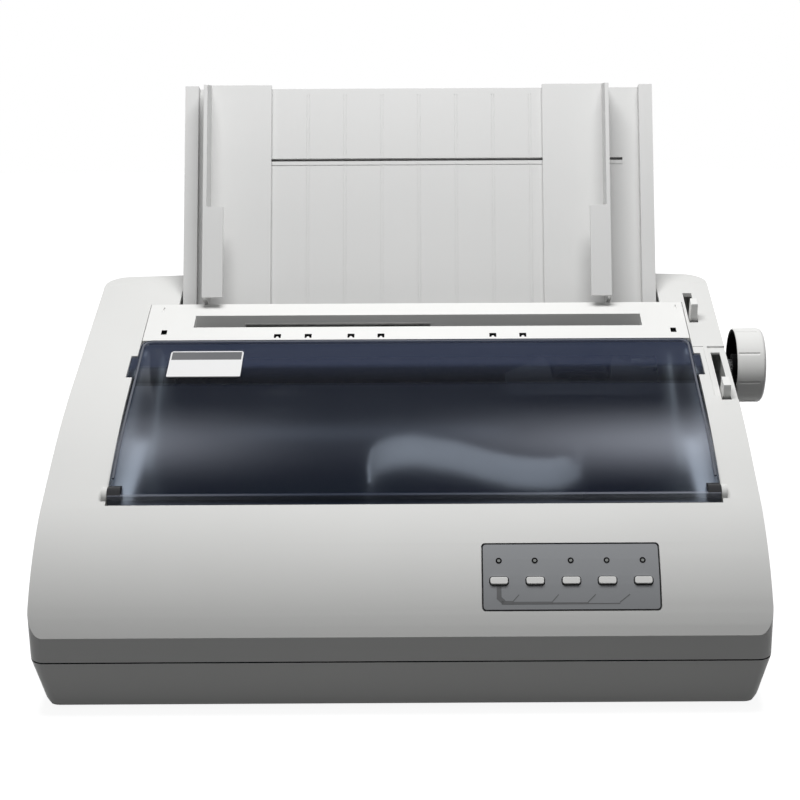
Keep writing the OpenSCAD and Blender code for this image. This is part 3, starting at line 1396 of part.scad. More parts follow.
module drive_pulley() color("goldenrod") placed() on_sill() translate([drive_x, pulley_y, 0]) {
    pulley(belt_h - 0.5, pulley_h[1], 3.8);
    translate([0, 0, 2]) cylinder(h = pulley_h[1] - 2, d = 4);
}

module idler_pulley() color("goldenrod") placed() on_sill()
    translate([idle_x, pulley_y, 0]) pulley(belt_h - 0.5, pulley_h[1], stud_d + 2 * run_gap);

module timing_belt() color("#303030") placed() on_sill()
    translate([0, 0, belt_h]) linear_extrude(belt_w) difference() {
        belt_outline(belt_r + belt_t);
        belt_outline(belt_r);
    }

module belt_outline(r)
    polygon(concat(
        [for (i = [0:24]) [drive_x, pulley_y] + r * [cos(90 + i * 7.5), sin(90 + i * 7.5)]],
        [for (i = [0:24]) [idle_x, pulley_y] + r * [cos(-90 + i * 7.5), sin(-90 + i * 7.5)]]
    ));

lower_case();
upper_case();
feet();
case_screws();
base_frame();
left_side_frame();
right_side_frame();
front_rail();
platen_bushes();
paper_pan();
paper_sensor();
main_board();
board_chips();
power_board();
transformer();
interface_board();
parallel_port();
usb_port();
power_inlet();
switch_housing();
power_rocker();
control_panel();
status_lamps();
panel_board();
button_1();
button_2();
button_3();
button_4();
button_5();
front_cover();
cover_label();
tear_off_cover();
paper_support();
left_paper_guide();
right_paper_guide();
platen_roller();
platen_shaft();
platen_gear();
platen_knob();
feed_motor();
feed_pinion();
feed_idler();
tractor_shaft();
tractor_rod();
left_tractor();
left_tractor_lid();
right_tractor();
right_tractor_lid();
pressure_rollers();
guide_shaft();
thickness_lever();
release_lever();
carriage();
print_head();
ribbon_cartridge();
head_cable();
carriage_motor();
drive_pulley();
idler_pulley();
timing_belt();
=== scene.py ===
"""Looks of a narrow desktop dot matrix printer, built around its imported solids.

Lengths are in metres in the printer's own frame. Sizes that are typed here are in millimetres and
count from the case: X = 0 at its centre, Y = 0 at its front face and Z = 0 on the table.
"""

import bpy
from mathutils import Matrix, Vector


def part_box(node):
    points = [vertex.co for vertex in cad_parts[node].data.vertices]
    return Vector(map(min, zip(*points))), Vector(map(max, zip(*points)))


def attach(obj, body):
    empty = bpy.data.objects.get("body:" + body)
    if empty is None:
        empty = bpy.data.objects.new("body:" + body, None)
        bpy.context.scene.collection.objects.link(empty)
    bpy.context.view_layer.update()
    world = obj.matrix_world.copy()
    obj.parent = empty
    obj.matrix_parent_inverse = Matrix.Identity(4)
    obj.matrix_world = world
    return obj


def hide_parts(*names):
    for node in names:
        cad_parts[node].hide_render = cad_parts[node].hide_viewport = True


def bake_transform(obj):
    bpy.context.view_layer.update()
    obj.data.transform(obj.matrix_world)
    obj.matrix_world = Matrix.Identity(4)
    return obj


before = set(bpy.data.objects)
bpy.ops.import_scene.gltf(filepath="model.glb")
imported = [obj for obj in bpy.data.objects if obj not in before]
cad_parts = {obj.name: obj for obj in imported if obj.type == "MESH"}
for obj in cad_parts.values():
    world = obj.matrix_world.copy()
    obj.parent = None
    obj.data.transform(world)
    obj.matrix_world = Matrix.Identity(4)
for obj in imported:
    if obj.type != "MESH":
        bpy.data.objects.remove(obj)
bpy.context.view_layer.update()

import logging
import math
from collections.abc import Callable
from dataclasses import dataclass, field
from enum import Enum

import bmesh
import bpy
from mathutils import Matrix, Vector

Piece = bpy.types.Object
Tree = bpy.types.NodeTree
Node = bpy.types.Node
Socket = bpy.types.NodeSocket
Material = bpy.types.Material
Box = tuple[float, float, float, float]
Place = tuple[float, float]
Stops = tuple[Place, ...]

LOG = logging.getLogger("printer")
MM = 0.001
SILL_Z = 34.2


# ---- Small helpers ----


def linear(hex_colour: str) -> Box:
    """Turn an sRGB hex colour into linear light.

    Args:
        hex_colour: A colour such as "#DADAD6".

    Returns:
        Red, green, blue and an alpha of 1.
    """
    parts = [int(hex_colour[i : i + 2], 16) / 255 for i in (1, 3, 5)]
    red, green, blue = (c / 12.92 if c <= 0.04045 else ((c + 0.055) / 1.055) ** 2.4 for c in parts)
    return red, green, blue, 1.0


def scaled(hex_colour: str, share: float) -> Box:
    """Return a colour's linear light times a share, with an alpha of 1."""
    red, green, blue = (c * share for c in linear(hex_colour)[:3])
    return red, green, blue, 1.0


def case_origin() -> Vector:
    """Return the case frame's origin in the printer's frame, in metres."""
    low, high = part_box("lower_case")
    return Vector(((low.x + high.x) / 2, low.y, 0.0))


ORIGIN = case_origin()


def at_case(x: float, y: float, z: float) -> Vector:
    """Place a point of the case frame, given in millimetres.

    Args:
        x: Distance right of the case's centre.
        y: Distance behind its front face.
        z: Height above the table.

    Returns:
        The point in the printer's frame, in metres.
    """
    return ORIGIN + Vector((x, y, z)) * MM


def in_case(point: Vector) -> Vector:
    """Return a point of the printer's frame in the case frame, in millimetres."""
    return (point - ORIGIN) / MM


def deselect() -> None:
    """Leave edit mode and deselect everything."""
    if bpy.context.object and bpy.context.object.mode != "OBJECT":
        bpy.ops.object.mode_set(mode="OBJECT")
    bpy.ops.object.select_all(action="DESELECT")


def pick(piece: Piece) -> None:
    """Make a piece the only selected and active object."""
    deselect()
    piece.select_set(True)
    bpy.context.view_layer.objects.active = piece


def settle(piece: Piece) -> None:
    """Put a piece's place into its mesh, so that its object stands at the origin."""
    pick(piece)
    bpy.ops.object.transform_apply(location=True, rotation=True, scale=True)


def apply_all(piece: Piece) -> None:
    """Apply every modifier of a piece, in order."""
    pick(piece)
    for modifier in list(piece.modifiers):
        bpy.ops.object.modifier_apply(modifier=modifier.name)


def joined(name: str, pieces: list[Piece]) -> Piece:
    """Join pieces into one.

    Args:
        name: Name of the joined piece.
        pieces: What is joined; the first one stays.

    Returns:
        The joined piece.
    """
    deselect()
    for piece in pieces:
        piece.select_set(True)
    bpy.context.view_layer.objects.active = pieces[0]
    if len(pieces) > 1:
        bpy.ops.object.join()
    pieces[0].name = name
    pieces[0].data.name = name
    return pieces[0]


def add_node(
    tree: Tree,
    kind: str,
    settings: dict[str, object] | None = None,
    values: dict[object, object] | None = None,
    links: dict[object, Socket] | None = None,
) -> Node:
    """Add a shader node with its settings, values and links.

    Args:
        tree: Node tree that takes the node.
        kind: Type of the node, without the words ShaderNode.
        settings: Attributes to set on it.
        values: Values of its inputs, by name or index.
        links: Sockets that feed its inputs, by name or index.

    Returns:
        The new node.
    """
    node = tree.nodes.new("ShaderNode" + kind)
    for key, value in (settings or {}).items():
        setattr(node, key, value)
    for key, value in (values or {}).items():
        node.inputs[key].default_value = value
    for key, socket in (links or {}).items():
        tree.links.new(socket, node.inputs[key])
    return node


def new_material(name: str) -> tuple[Material, Tree, Node]:
    """Start a material.

    Args:
        name: Name of the material.

    Returns:
        The material, its empty node tree and its output node.
    """
    material = bpy.data.materials.new(name)
    material.use_nodes = True
    tree = material.node_tree
    tree.nodes.clear()
    output = add_node(tree, "OutputMaterial")
    return material, tree, output


def inside_box(tree: Tree, place: Socket, box: Box) -> Socket:
    """Return a socket that is 1 inside a rectangle of the case frame, seen from above.

    Args:
        tree: Node tree that takes the nodes.
        place: Object coordinates.
        box: Left, right, front and rear edge in the case frame, in mm.
    """
    axes = add_node(tree, "SeparateXYZ", links={0: place})
    left, right, front, rear = box
    low, high = at_case(left, front, 0), at_case(right, rear, 0)
    product = None
    for axis, edge, operation in (
        ("X", low.x, "GREATER_THAN"), ("X", high.x, "LESS_THAN"), ("Y", low.y, "GREATER_THAN"),
        ("Y", high.y, "LESS_THAN"),
    ):
        side = add_node(
            tree, "Math", settings={"operation": operation}, values={1: edge},
            links={0: axes.outputs[axis]},
        ).outputs[0]
        product = side if product is None else add_node(
            tree, "Math", settings={"operation": "MULTIPLY"}, links={0: product, 1: side}
        ).outputs[0]
    return product


# ---- Finishes ----


@dataclass(frozen=True)
class MouldedPlastic:
    """Injection-moulded ABS or polystyrene with a fine eroded grain from its mould.

    The grain breaks the highlight into a soft sheen, and slow changes in tone come from ageing.
    """

    name: str
    colour: str
    roughness: float = 0.45
    grain_mm: float = 0.9
    grain_depth_mm: float = 0.03
    tone: float = 0.03
    specular: float = 0.4
    SLOW_SCALE = 14.0

    def make(self) -> Material:
        """Return the material."""
        material, tree, output = new_material(self.name)
        place = add_node(tree, "TexCoord").outputs["Object"]
        slow = add_node(
            tree, "TexNoise", values={"Scale": self.SLOW_SCALE, "Detail": 3.0},
            links={"Vector": place},
        )
        tint = add_node(
            tree, "Mix", settings={"data_type": "RGBA"},
            values={6: linear(self.colour), 7: scaled(self.colour, 1 - 2 * self.tone)},
            links={0: slow.outputs["Fac"]},
        )
        grain = add_node(
            tree, "TexNoise",
            values={"Scale": 1 / (self.grain_mm * MM), "Detail": 2.0, "Roughness": 0.6},
            links={"Vector": place},
        )
        rough = add_node(
            tree, "MapRange", values={3: self.roughness - 0.05, 4: self.roughness + 0.05},
            links={0: grain.outputs["Fac"]},
        )
        bump = add_node(
            tree, "Bump", values={"Strength": 0.35, "Distance": self.grain_depth_mm * MM},
            links={"Height": grain.outputs["Fac"]},
        )
        shader = add_node(
            tree,
            "BsdfPrincipled",
            values={"IOR": 1.53, "Specular IOR Level": self.specular},
            links={
                "Base Color": tint.outputs[2],
                "Roughness": rough.outputs[0],
                "Normal": bump.outputs["Normal"],
            },
        )
        tree.links.new(shader.outputs[0], output.inputs["Surface"])
        return material


@dataclass(frozen=True)
class SheetMetal:
    """Zinc-plated or ground steel, brass or cast alloy.

    Fine lines along one axis stretch the highlight across them.
    """

    name: str
    colour: str
    roughness: float = 0.32
    line_mm: float = 0.5
    along: tuple[float, float, float] = (0.04, 1.0, 1.0)
    metallic: float = 1.0

    def make(self) -> Material:
        """Return the material."""
        material, tree, output = new_material(self.name)
        place = add_node(tree, "TexCoord").outputs["Object"]
        stretched = add_node(tree, "Mapping", values={"Scale": self.along}, links={"Vector": place})
        lines = add_node(
            tree, "TexNoise", values={"Scale": 1 / (self.line_mm * MM), "Detail": 3.0},
            links={"Vector": stretched.outputs[0]},
        )
        tint = add_node(
            tree, "Mix", settings={"data_type": "RGBA"},
            values={6: linear(self.colour), 7: scaled(self.colour, 0.8)},
            links={0: lines.outputs["Fac"]},
        )
        rough = add_node(
            tree, "MapRange", values={3: self.roughness - 0.08, 4: self.roughness + 0.1},
            links={0: lines.outputs["Fac"]},
        )
        shader = add_node(
            tree, "BsdfPrincipled", values={"Metallic": self.metallic},
            links={"Base Color": tint.outputs[2], "Roughness": rough.outputs[0]},
        )
        tree.links.new(shader.outputs[0], output.inputs["Surface"])
        return material


@dataclass(frozen=True)
class SmokePlastic:
    """Smoke-tinted polystyrene, moulded with a satin inside and a clear window at its rear.

    The satin inside blurs what lies well behind it; the dye gives the whole a navy haze. A painted
    highlight, a broad band that stands in for the lamps' reflection, lightens and thickens that
    haze.

    Attributes:
        name: Name of the material.
        tint: What the sheet lets through.
        dye: Colour of the dye's own haze.
        haze: Share of the haze that shadows go by, and the share of haze that the painted highlight
            adds where it is full.
        clouding: Share of the haze at several depths of the case frame.
        passing: Share of the light that the sheet passes at several depths; its dip at the front of
            the clear window is painted shade.
        painted_highlight_across: Strength of a painted highlight, which stands in for the lamps'
            reflection, across the sheet.
        painted_highlight_along: The same along its depth.
        painted_highlight_colour: Colour of the painted highlight, which the haze takes where the
            highlight is full.
        window: Left, right, front and rear edge of the clear window in the case frame, in mm.
        satin: Roughness of the inside.
        gloss: Roughness of the outside and of the clear window.
    """

    name: str
    tint: str
    dye: str
    haze: float = 0.1
    clouding: Stops = (
        (56.0, 0.5), (58.4, 0.5), (58.8, 0.1), (151.5, 0.1), (152.2, 0.02), (169.0, 0.14),
        (170.0, 0.42), (197.0, 0.38),
    )
    # The dip from 152.2 mm, fading out by 169 mm, is painted shade across the front of the clear
    # window.
    passing: Stops = ((56.0, 1.0), (151.5, 0.9), (152.2, 0.35), (169.0, 1.0), (197.0, 1.0))
    painted_highlight_across: Stops = ((-160.0, 0.75), (-35.0, 0.1), (172.0, 1.0))
    painted_highlight_along: Stops = (
        (56.0, 0.5), (58.4, 0.5), (58.8, 0.0), (60.0, 0.0), (97.0, 1.0), (138.0, 0.0)
    )
    painted_highlight_colour: str = "#CBCFDA"
    window: Box | None = None
    satin: float = 0.75
    gloss: float = 0.1

    def grade(self, tree: Tree, axis: str, stops: Stops, curve: str = "LINEAR") -> Socket:
        """Return a socket that runs through grey values along an axis of the sheet.

        Args:
            tree: Node tree that takes the nodes.
            axis: "X" across the printer or "Y" along its depth.
            stops: Place in the case frame, in mm, and value at each stop.
            curve: How values run between the stops.
        """
        place = add_node(tree, "TexCoord").outputs["Object"]
        axes = add_node(tree, "SeparateXYZ", links={0: place})
        first, last = stops[0][0], stops[-1][0]
        start, end = (getattr(at_case(v, v, 0), axis.lower()) for v in (first, last))
        share = add_node(tree, "MapRange", values={1: start, 2: end}, links={0: axes.outputs[axis]})
        ramp = add_node(tree, "ValToRGB", links={0: share.outputs[0]})
        ramp.color_ramp.interpolation = curve
        marks = ramp.color_ramp.elements
        for mark, (_, value) in zip((marks[0], marks[1]), (stops[0], stops[-1])):
            mark.color = (value, value, value, 1.0)
        for at, value in stops[1:-1]:
            marks.new((at - first) / (last - first)).color = (value, value, value, 1.0)
        return ramp.outputs[0]

    def make(self) -> Material:
        """Return the material, which lets lamps shine through it into the printer."""
        material, tree, output = new_material(self.name)
        faces = add_node(tree, "TexCoord").outputs["Normal"]
        upward = add_node(
            tree, "Math", settings={"operation": "GREATER_THAN"}, values={1: 0.0},
            links={0: add_node(tree, "SeparateXYZ", links={0: faces}).outputs["Z"]},
        )
        turned = add_node(
            tree, "Math", settings={"operation": "SUBTRACT"},
            links={0: upward.outputs[0], 1: add_node(tree, "NewGeometry").outputs["Backfacing"]},
        )
        outside = add_node(
            tree, "Math", settings={"operation": "ABSOLUTE"}, links={0: turned.outputs[0]}
        )
        glossy = add_node(
            tree,
            "Math",
            settings={"operation": "MAXIMUM"},
            links={
                0: outside.outputs[0],
                1: inside_box(tree, add_node(tree, "TexCoord").outputs["Object"], self.window),
            },
        )
        rough = add_node(
            tree, "MapRange", values={3: self.satin, 4: self.gloss}, links={0: glossy.outputs[0]}
        ).outputs[0]
        clear = add_node(
            tree,
            "BsdfPrincipled",
            values={"IOR": 1.1, "Transmission Weight": 1.0, "Specular IOR Level": 0.12},
            links={
                "Base Color": add_node(
                    tree, "Mix", settings={"data_type": "RGBA", "blend_type": "MULTIPLY"},
                    values={0: 1.0, 6: linear(self.tint)},
                    links={7: self.grade(tree, "Y", self.passing)},
                ).outputs[2],
                "Roughness": rough,
            },
        )
        # Painted highlight: a broad band across the front part, stronger to the right, that stands
        # in for the lamps' reflection.
        painted_highlight = add_node(
            tree,
            "Math",
            settings={"operation": "MULTIPLY"},
            links={
                0: self.grade(tree, "X", self.painted_highlight_across, "EASE"),
                1: self.grade(tree, "Y", self.painted_highlight_along, "EASE"),
            },
        ).outputs[0]
        # The haze's colour turns from the dye towards the painted highlight's colour where the band
        # is strong.
        dye = add_node(
            tree, "Mix", settings={"data_type": "RGBA"},
            values={6: linear(self.dye), 7: linear(self.painted_highlight_colour)}, links={0: painted_highlight},
        )
        dyed_and_highlit = add_node(
            tree, "BsdfPrincipled", values={"Roughness": 0.25, "Specular IOR Level": 0.1},
            links={"Base Color": dye.outputs[2]},
        )
        # The painted highlight also raises the haze's share.
        clouded_and_highlit = add_node(
            tree, "Math", settings={"operation": "MULTIPLY_ADD"}, values={1: self.haze},
            links={0: painted_highlight, 2: self.grade(tree, "Y", self.clouding)},
        )
        body = add_node(
            tree, "MixShader",
            links={0: clouded_and_highlit.outputs[0], 1: clear.outputs[0], 2: dyed_and_highlit.outputs[0]},
        )
        passed = tuple(math.sqrt(c) * (1 - self.haze) for c in linear(self.tint)[:3]) + (1.0,)
        open_way = add_node(tree, "BsdfTransparent", values={"Color": passed})
        rays = add_node(tree, "LightPath")
        mixed = add_node(
            tree, "MixShader",
            links={0: rays.outputs["Is Shadow Ray"], 1: body.outputs[0], 2: open_way.outputs[0]},
        )
        tree.links.new(mixed.outputs[0], output.inputs["Surface"])
        return material


@dataclass(frozen=True)
class Rubber:
    """Ground nitrile or moulded rubber, matt and slightly dusty."""

    name: str
    colour: str
    roughness: float = 0.75
    grain_mm: float = 0.5

    def make(self) -> Material:
        """Return the material."""
        material, tree, output = new_material(self.name)
        place = add_node(tree, "TexCoord").outputs["Object"]
        grit = add_node(
            tree, "TexNoise", values={"Scale": 1 / (self.grain_mm * MM), "Detail": 4.0},
            links={"Vector": place},
        )
        tint = add_node(
            tree, "Mix", settings={"data_type": "RGBA"},
            values={6: linear(self.colour), 7: scaled(self.colour, 1.6)},
            links={0: grit.outputs["Fac"]},
        )
        bump = add_node(
            tree, "Bump", values={"Strength": 0.4, "Distance": 0.00004},
            links={"Height": grit.outputs["Fac"]},
        )
        shader = add_node(
            tree, "BsdfPrincipled", values={"Roughness": self.roughness, "Specular IOR Level": 0.3},
            links={"Base Color": tint.outputs[2], "Normal": bump.outputs["Normal"]},
        )
        tree.links.new(shader.outputs[0], output.inputs["Surface"])
        return material


@dataclass(frozen=True)
class LabelFilm:
    """White glossy label film with a printed grey band across its head and a painted shadow along
    its foot.

    Attributes:
        name: Name of the material.
        paper: Colour of the film.
        prints_and_shadow: Colour and rectangle in the case frame, in mm, of each printed part and
            of the painted shadow.
    """

    name: str
    paper: str
    prints_and_shadow: tuple[tuple[str, Box], ...]

    def make(self) -> Material:
        """Return the material."""
        material, tree, output = new_material(self.name)
        place = add_node(tree, "TexCoord").outputs["Object"]
        tint = None
        for colour, box in self.prints_and_shadow:
            links = {0: inside_box(tree, place, box)}
            if tint:
                links[6] = tint
            values = {6: linear(self.paper), 7: linear(colour)}
            tint = add_node(
                tree, "Mix", settings={"data_type": "RGBA"}, values=values, links=links
            ).outputs[2]
        shader = add_node(
            tree, "BsdfPrincipled", values={"Roughness": 0.3}, links={"Base Color": tint}
        )
        tree.links.new(shader.outputs[0], output.inputs["Surface"])
        return material


class Finish(Enum):
    """The printer's finishes, by the record's slot."""

    CASE = MouldedPlastic("case_abs", "#E1E1DF", roughness=0.5)
    WHITE = MouldedPlastic("white_abs", "#E9E9E7", roughness=0.4, grain_mm=1.2, tone=0.01)
    SUPPORT = MouldedPlastic("support_polystyrene", "#DDDDDC", roughness=0.45, tone=0.02)
    SMOKE = SmokePlastic(
        "smoke_polystyrene", "#E9F0FA", "#384056", window=(-140.5, 149.5, 153.0, 180.0)
    )
    RIM = MouldedPlastic("smoke_rim", "#5A5E68", roughness=0.3, grain_depth_mm=0.0)
    EDGE = MouldedPlastic("smoke_edge", "#0E1016", roughness=0.25, grain_depth_mm=0.0)
    # Painted shade: a near-black finish that stands in for the shade in the case's seam, in the
    # gaps round the panel and the buttons, in the tear-off cover's holes and in the knob's cup; the
    # lamps' rings take it too.
    SHADE = MouldedPlastic(
        "painted_shade", "#161617", roughness=0.7, grain_depth_mm=0.0, specular=0.1
    )
    PANEL = MouldedPlastic("panel_film", "#9D9C99", roughness=0.5, grain_mm=0.4, tone=0.02)
    PRINT = MouldedPlastic("panel_ink", "#6B6C6D", roughness=0.55, grain_mm=0.4)
    LAMP = MouldedPlastic("lamp_lens", "#8A8D8A", roughness=0.2, grain_mm=3.0, grain_depth_mm=0.0)
    FOOT = Rubber("foot_rubber", "#2A2A2A")
    PLATEN = Rubber("platen_rubber", "#1D1E20", roughness=0.55)
    STEEL = SheetMetal("ground_steel", "#B4B5B6", roughness=0.25)
    OILED = SheetMetal("oiled_guide_steel", "#808285", roughness=0.4, metallic=0.35)
    SHEET = SheetMetal("dark_plated_sheet", "#3A3C3F", roughness=0.45)
    ZINC = SheetMetal("bright_plated_sheet", "#D3D6D2", roughness=0.55, metallic=0.15)
    MOTOR = SheetMetal("motor_can", "#77797C", roughness=0.4)
    NYLON = MouldedPlastic("natural_nylon", "#DAD6C6", roughness=0.4)
    BRASS = SheetMetal("turned_brass", "#C8A24E", roughness=0.3)
    BLACK = MouldedPlastic("black_abs", "#1C1D1F", roughness=0.45, specular=0.3)
    HEAD = SheetMetal("cast_head", "#4A4C50", roughness=0.5)
    BOARD = MouldedPlastic("solder_mask", "#173B28", roughness=0.35, grain_mm=2.0)
    CORE = MouldedPlastic("varnished_core", "#7A5B2C", roughness=0.4)
    PORT = SheetMetal("nickel_shell", "#A9ABAD", roughness=0.3)
    CABLE = MouldedPlastic("cable_film", "#F2F3F3", roughness=0.4, grain_mm=1.27)

    def material(self) -> Material:
        """Return this finish's material, made on first use."""
        made = bpy.data.materials.get(self.value.name)
        return made or self.value.make()


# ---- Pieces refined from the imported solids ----


@dataclass
class MouldedPiece:
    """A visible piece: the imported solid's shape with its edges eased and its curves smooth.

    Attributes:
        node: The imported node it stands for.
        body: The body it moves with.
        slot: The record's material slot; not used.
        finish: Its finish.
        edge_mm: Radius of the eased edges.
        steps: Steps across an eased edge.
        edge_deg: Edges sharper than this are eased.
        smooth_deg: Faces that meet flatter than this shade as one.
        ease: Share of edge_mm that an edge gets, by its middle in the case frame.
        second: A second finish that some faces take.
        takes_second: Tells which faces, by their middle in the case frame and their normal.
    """

    node: str
    body: str
    slot: str
    finish: Finish
    edge_mm: float = 0.4
    steps: int = 2
    edge_deg: float = 32.0
    smooth_deg: float = 40.0
    ease: Callable[[Vector], float] | None = None
    second: Finish | None = None
    takes_second: Callable[[Vector, Vector], bool] | None = None

    def weigh_edges(self, piece: Piece) -> None:
        """Write the share of the easing that each edge gets into the mesh.

        Args:
            piece: The merged copy of the solid.
        """
        shell = bmesh.new()
        shell.from_mesh(piece.data)
        layer = shell.edges.layers.float.new("bevel_weight_edge")
        for edge in shell.edges:
            sharp = edge.calc_face_angle(0.0) > math.radians(self.edge_deg)
            if len(edge.link_faces) == 2 and sharp:
                middle = in_case((edge.verts[0].co + edge.verts[1].co) / 2)
                edge[layer] = self.ease(middle) if self.ease else 1.0
        shell.to_mesh(piece.data)
        shell.free()

    def split_finish(self, piece: Piece) -> None:
        """Give the faces that takes_second names the second finish.

        Args:
            piece: The piece, already with its first finish.
        """
        piece.data.materials.append(self.second.material())
        for face in piece.data.polygons:
            if self.takes_second(in_case(face.center), face.normal):
                face.material_index = 1

    def build(self) -> Piece:
        """Copy the solid, merge it, ease its edges and smooth it.

        Returns:
            The finished piece, not yet on its body.
        """
        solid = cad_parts[self.node]
        piece = bpy.data.objects.new(self.node + "_skin", solid.data.copy())
        bpy.context.scene.collection.objects.link(piece)
        piece.data.materials.clear()
        pick(piece)
        bpy.ops.object.mode_set(mode="EDIT")
        bpy.ops.mesh.select_all(action="SELECT")
        bpy.ops.mesh.remove_doubles(threshold=1e-6)
        bpy.ops.mesh.dissolve_limited(angle_limit=math.radians(0.4))
        bpy.ops.object.mode_set(mode="OBJECT")
        if self.edge_mm > 0:
            bevel = piece.modifiers.new("edges", "BEVEL")
            bevel.width = self.edge_mm * MM
            bevel.segments = self.steps
            if self.ease:
                self.weigh_edges(piece)
                bevel.limit_method = "WEIGHT"
            else:
                bevel.limit_method = "ANGLE"
                bevel.angle_limit = math.radians(self.edge_deg)
            bevel.use_clamp_overlap = True
            bevel.harden_normals = False
            apply_all(piece)
        pick(piece)
        bpy.ops.object.shade_smooth_by_angle(angle=math.radians(self.smooth_deg))
        weigh = piece.modifiers.new("normals", "WEIGHTED_NORMAL")
        weigh.keep_sharp = True
        apply_all(piece)
        return piece

    def dress(self) -> Piece:
        """Build the piece, give it its finish and put it on its body.

        Returns:
            The finished piece.
        """
        piece = self.build()
        piece.data.materials.append(self.finish.material())
        if self.second:
            self.split_finish(piece)
        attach(piece, self.body)
        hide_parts(self.node)
        LOG.info("%s: %d faces", piece.name, len(piece.data.polygons))
        return piece


@dataclass
class InnerParts:
    """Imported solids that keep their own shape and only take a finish."""

    finishes: dict[Finish, tuple[str, ...]] = field(default_factory=dict)

    def dress(self) -> None:
        """Give every listed node its finish."""
        for finish, nodes in self.finishes.items():
            for node in nodes:
                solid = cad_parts[node]
                if not solid.material_slots:
                    solid.data.materials.append(None)
                for slot in solid.material_slots:
                    slot.link = "OBJECT"
                    slot.material = finish.material()
                LOG.info("%s: %s", node, finish.name)


# ---- Sub-assemblies ----


@dataclass
class Housing:
    """Upper and lower case, with a thin line of painted shade in the seam between them.

    Attributes:
        edge_mm: Radius of the eased edges.
        seam_z: Height of the seam between the shells.
    """

    edge_mm: float = 1.2
    seam_z: float = 32.2

    def ease(self, middle: Vector) -> float:
        """Return the share of the easing for an edge; the seam and the thin lips stay crisp."""
        if abs(middle.z - self.seam_z) < 4.0:
            return 0.12
        outside = middle.y < 3.0 or abs(middle.x) > 186.0 or middle.y > 278.0 or middle.z < 5.0
        return 1.0 if outside else 0.3

    def in_seam(self, middle: Vector, normal: Vector) -> bool:
        """Tell whether a face of the seam takes the painted shade."""
        return abs(middle.z - self.seam_z) < 0.7 and abs(normal.z) > 0.6

    def build(self) -> None:
        """Build and dress both shells."""
        for node in ("upper_case", "lower_case"):
            # The seam's faces take the painted-shade finish, near black in place of the shade in
            # the gap.
            MouldedPiece(
                node, "case", "case_plastic", Finish.CASE, self.edge_mm, 3, edge_deg=20.0,
                smooth_deg=26.0, ease=self.ease, second=Finish.SHADE, takes_second=self.in_seam,
            ).dress()


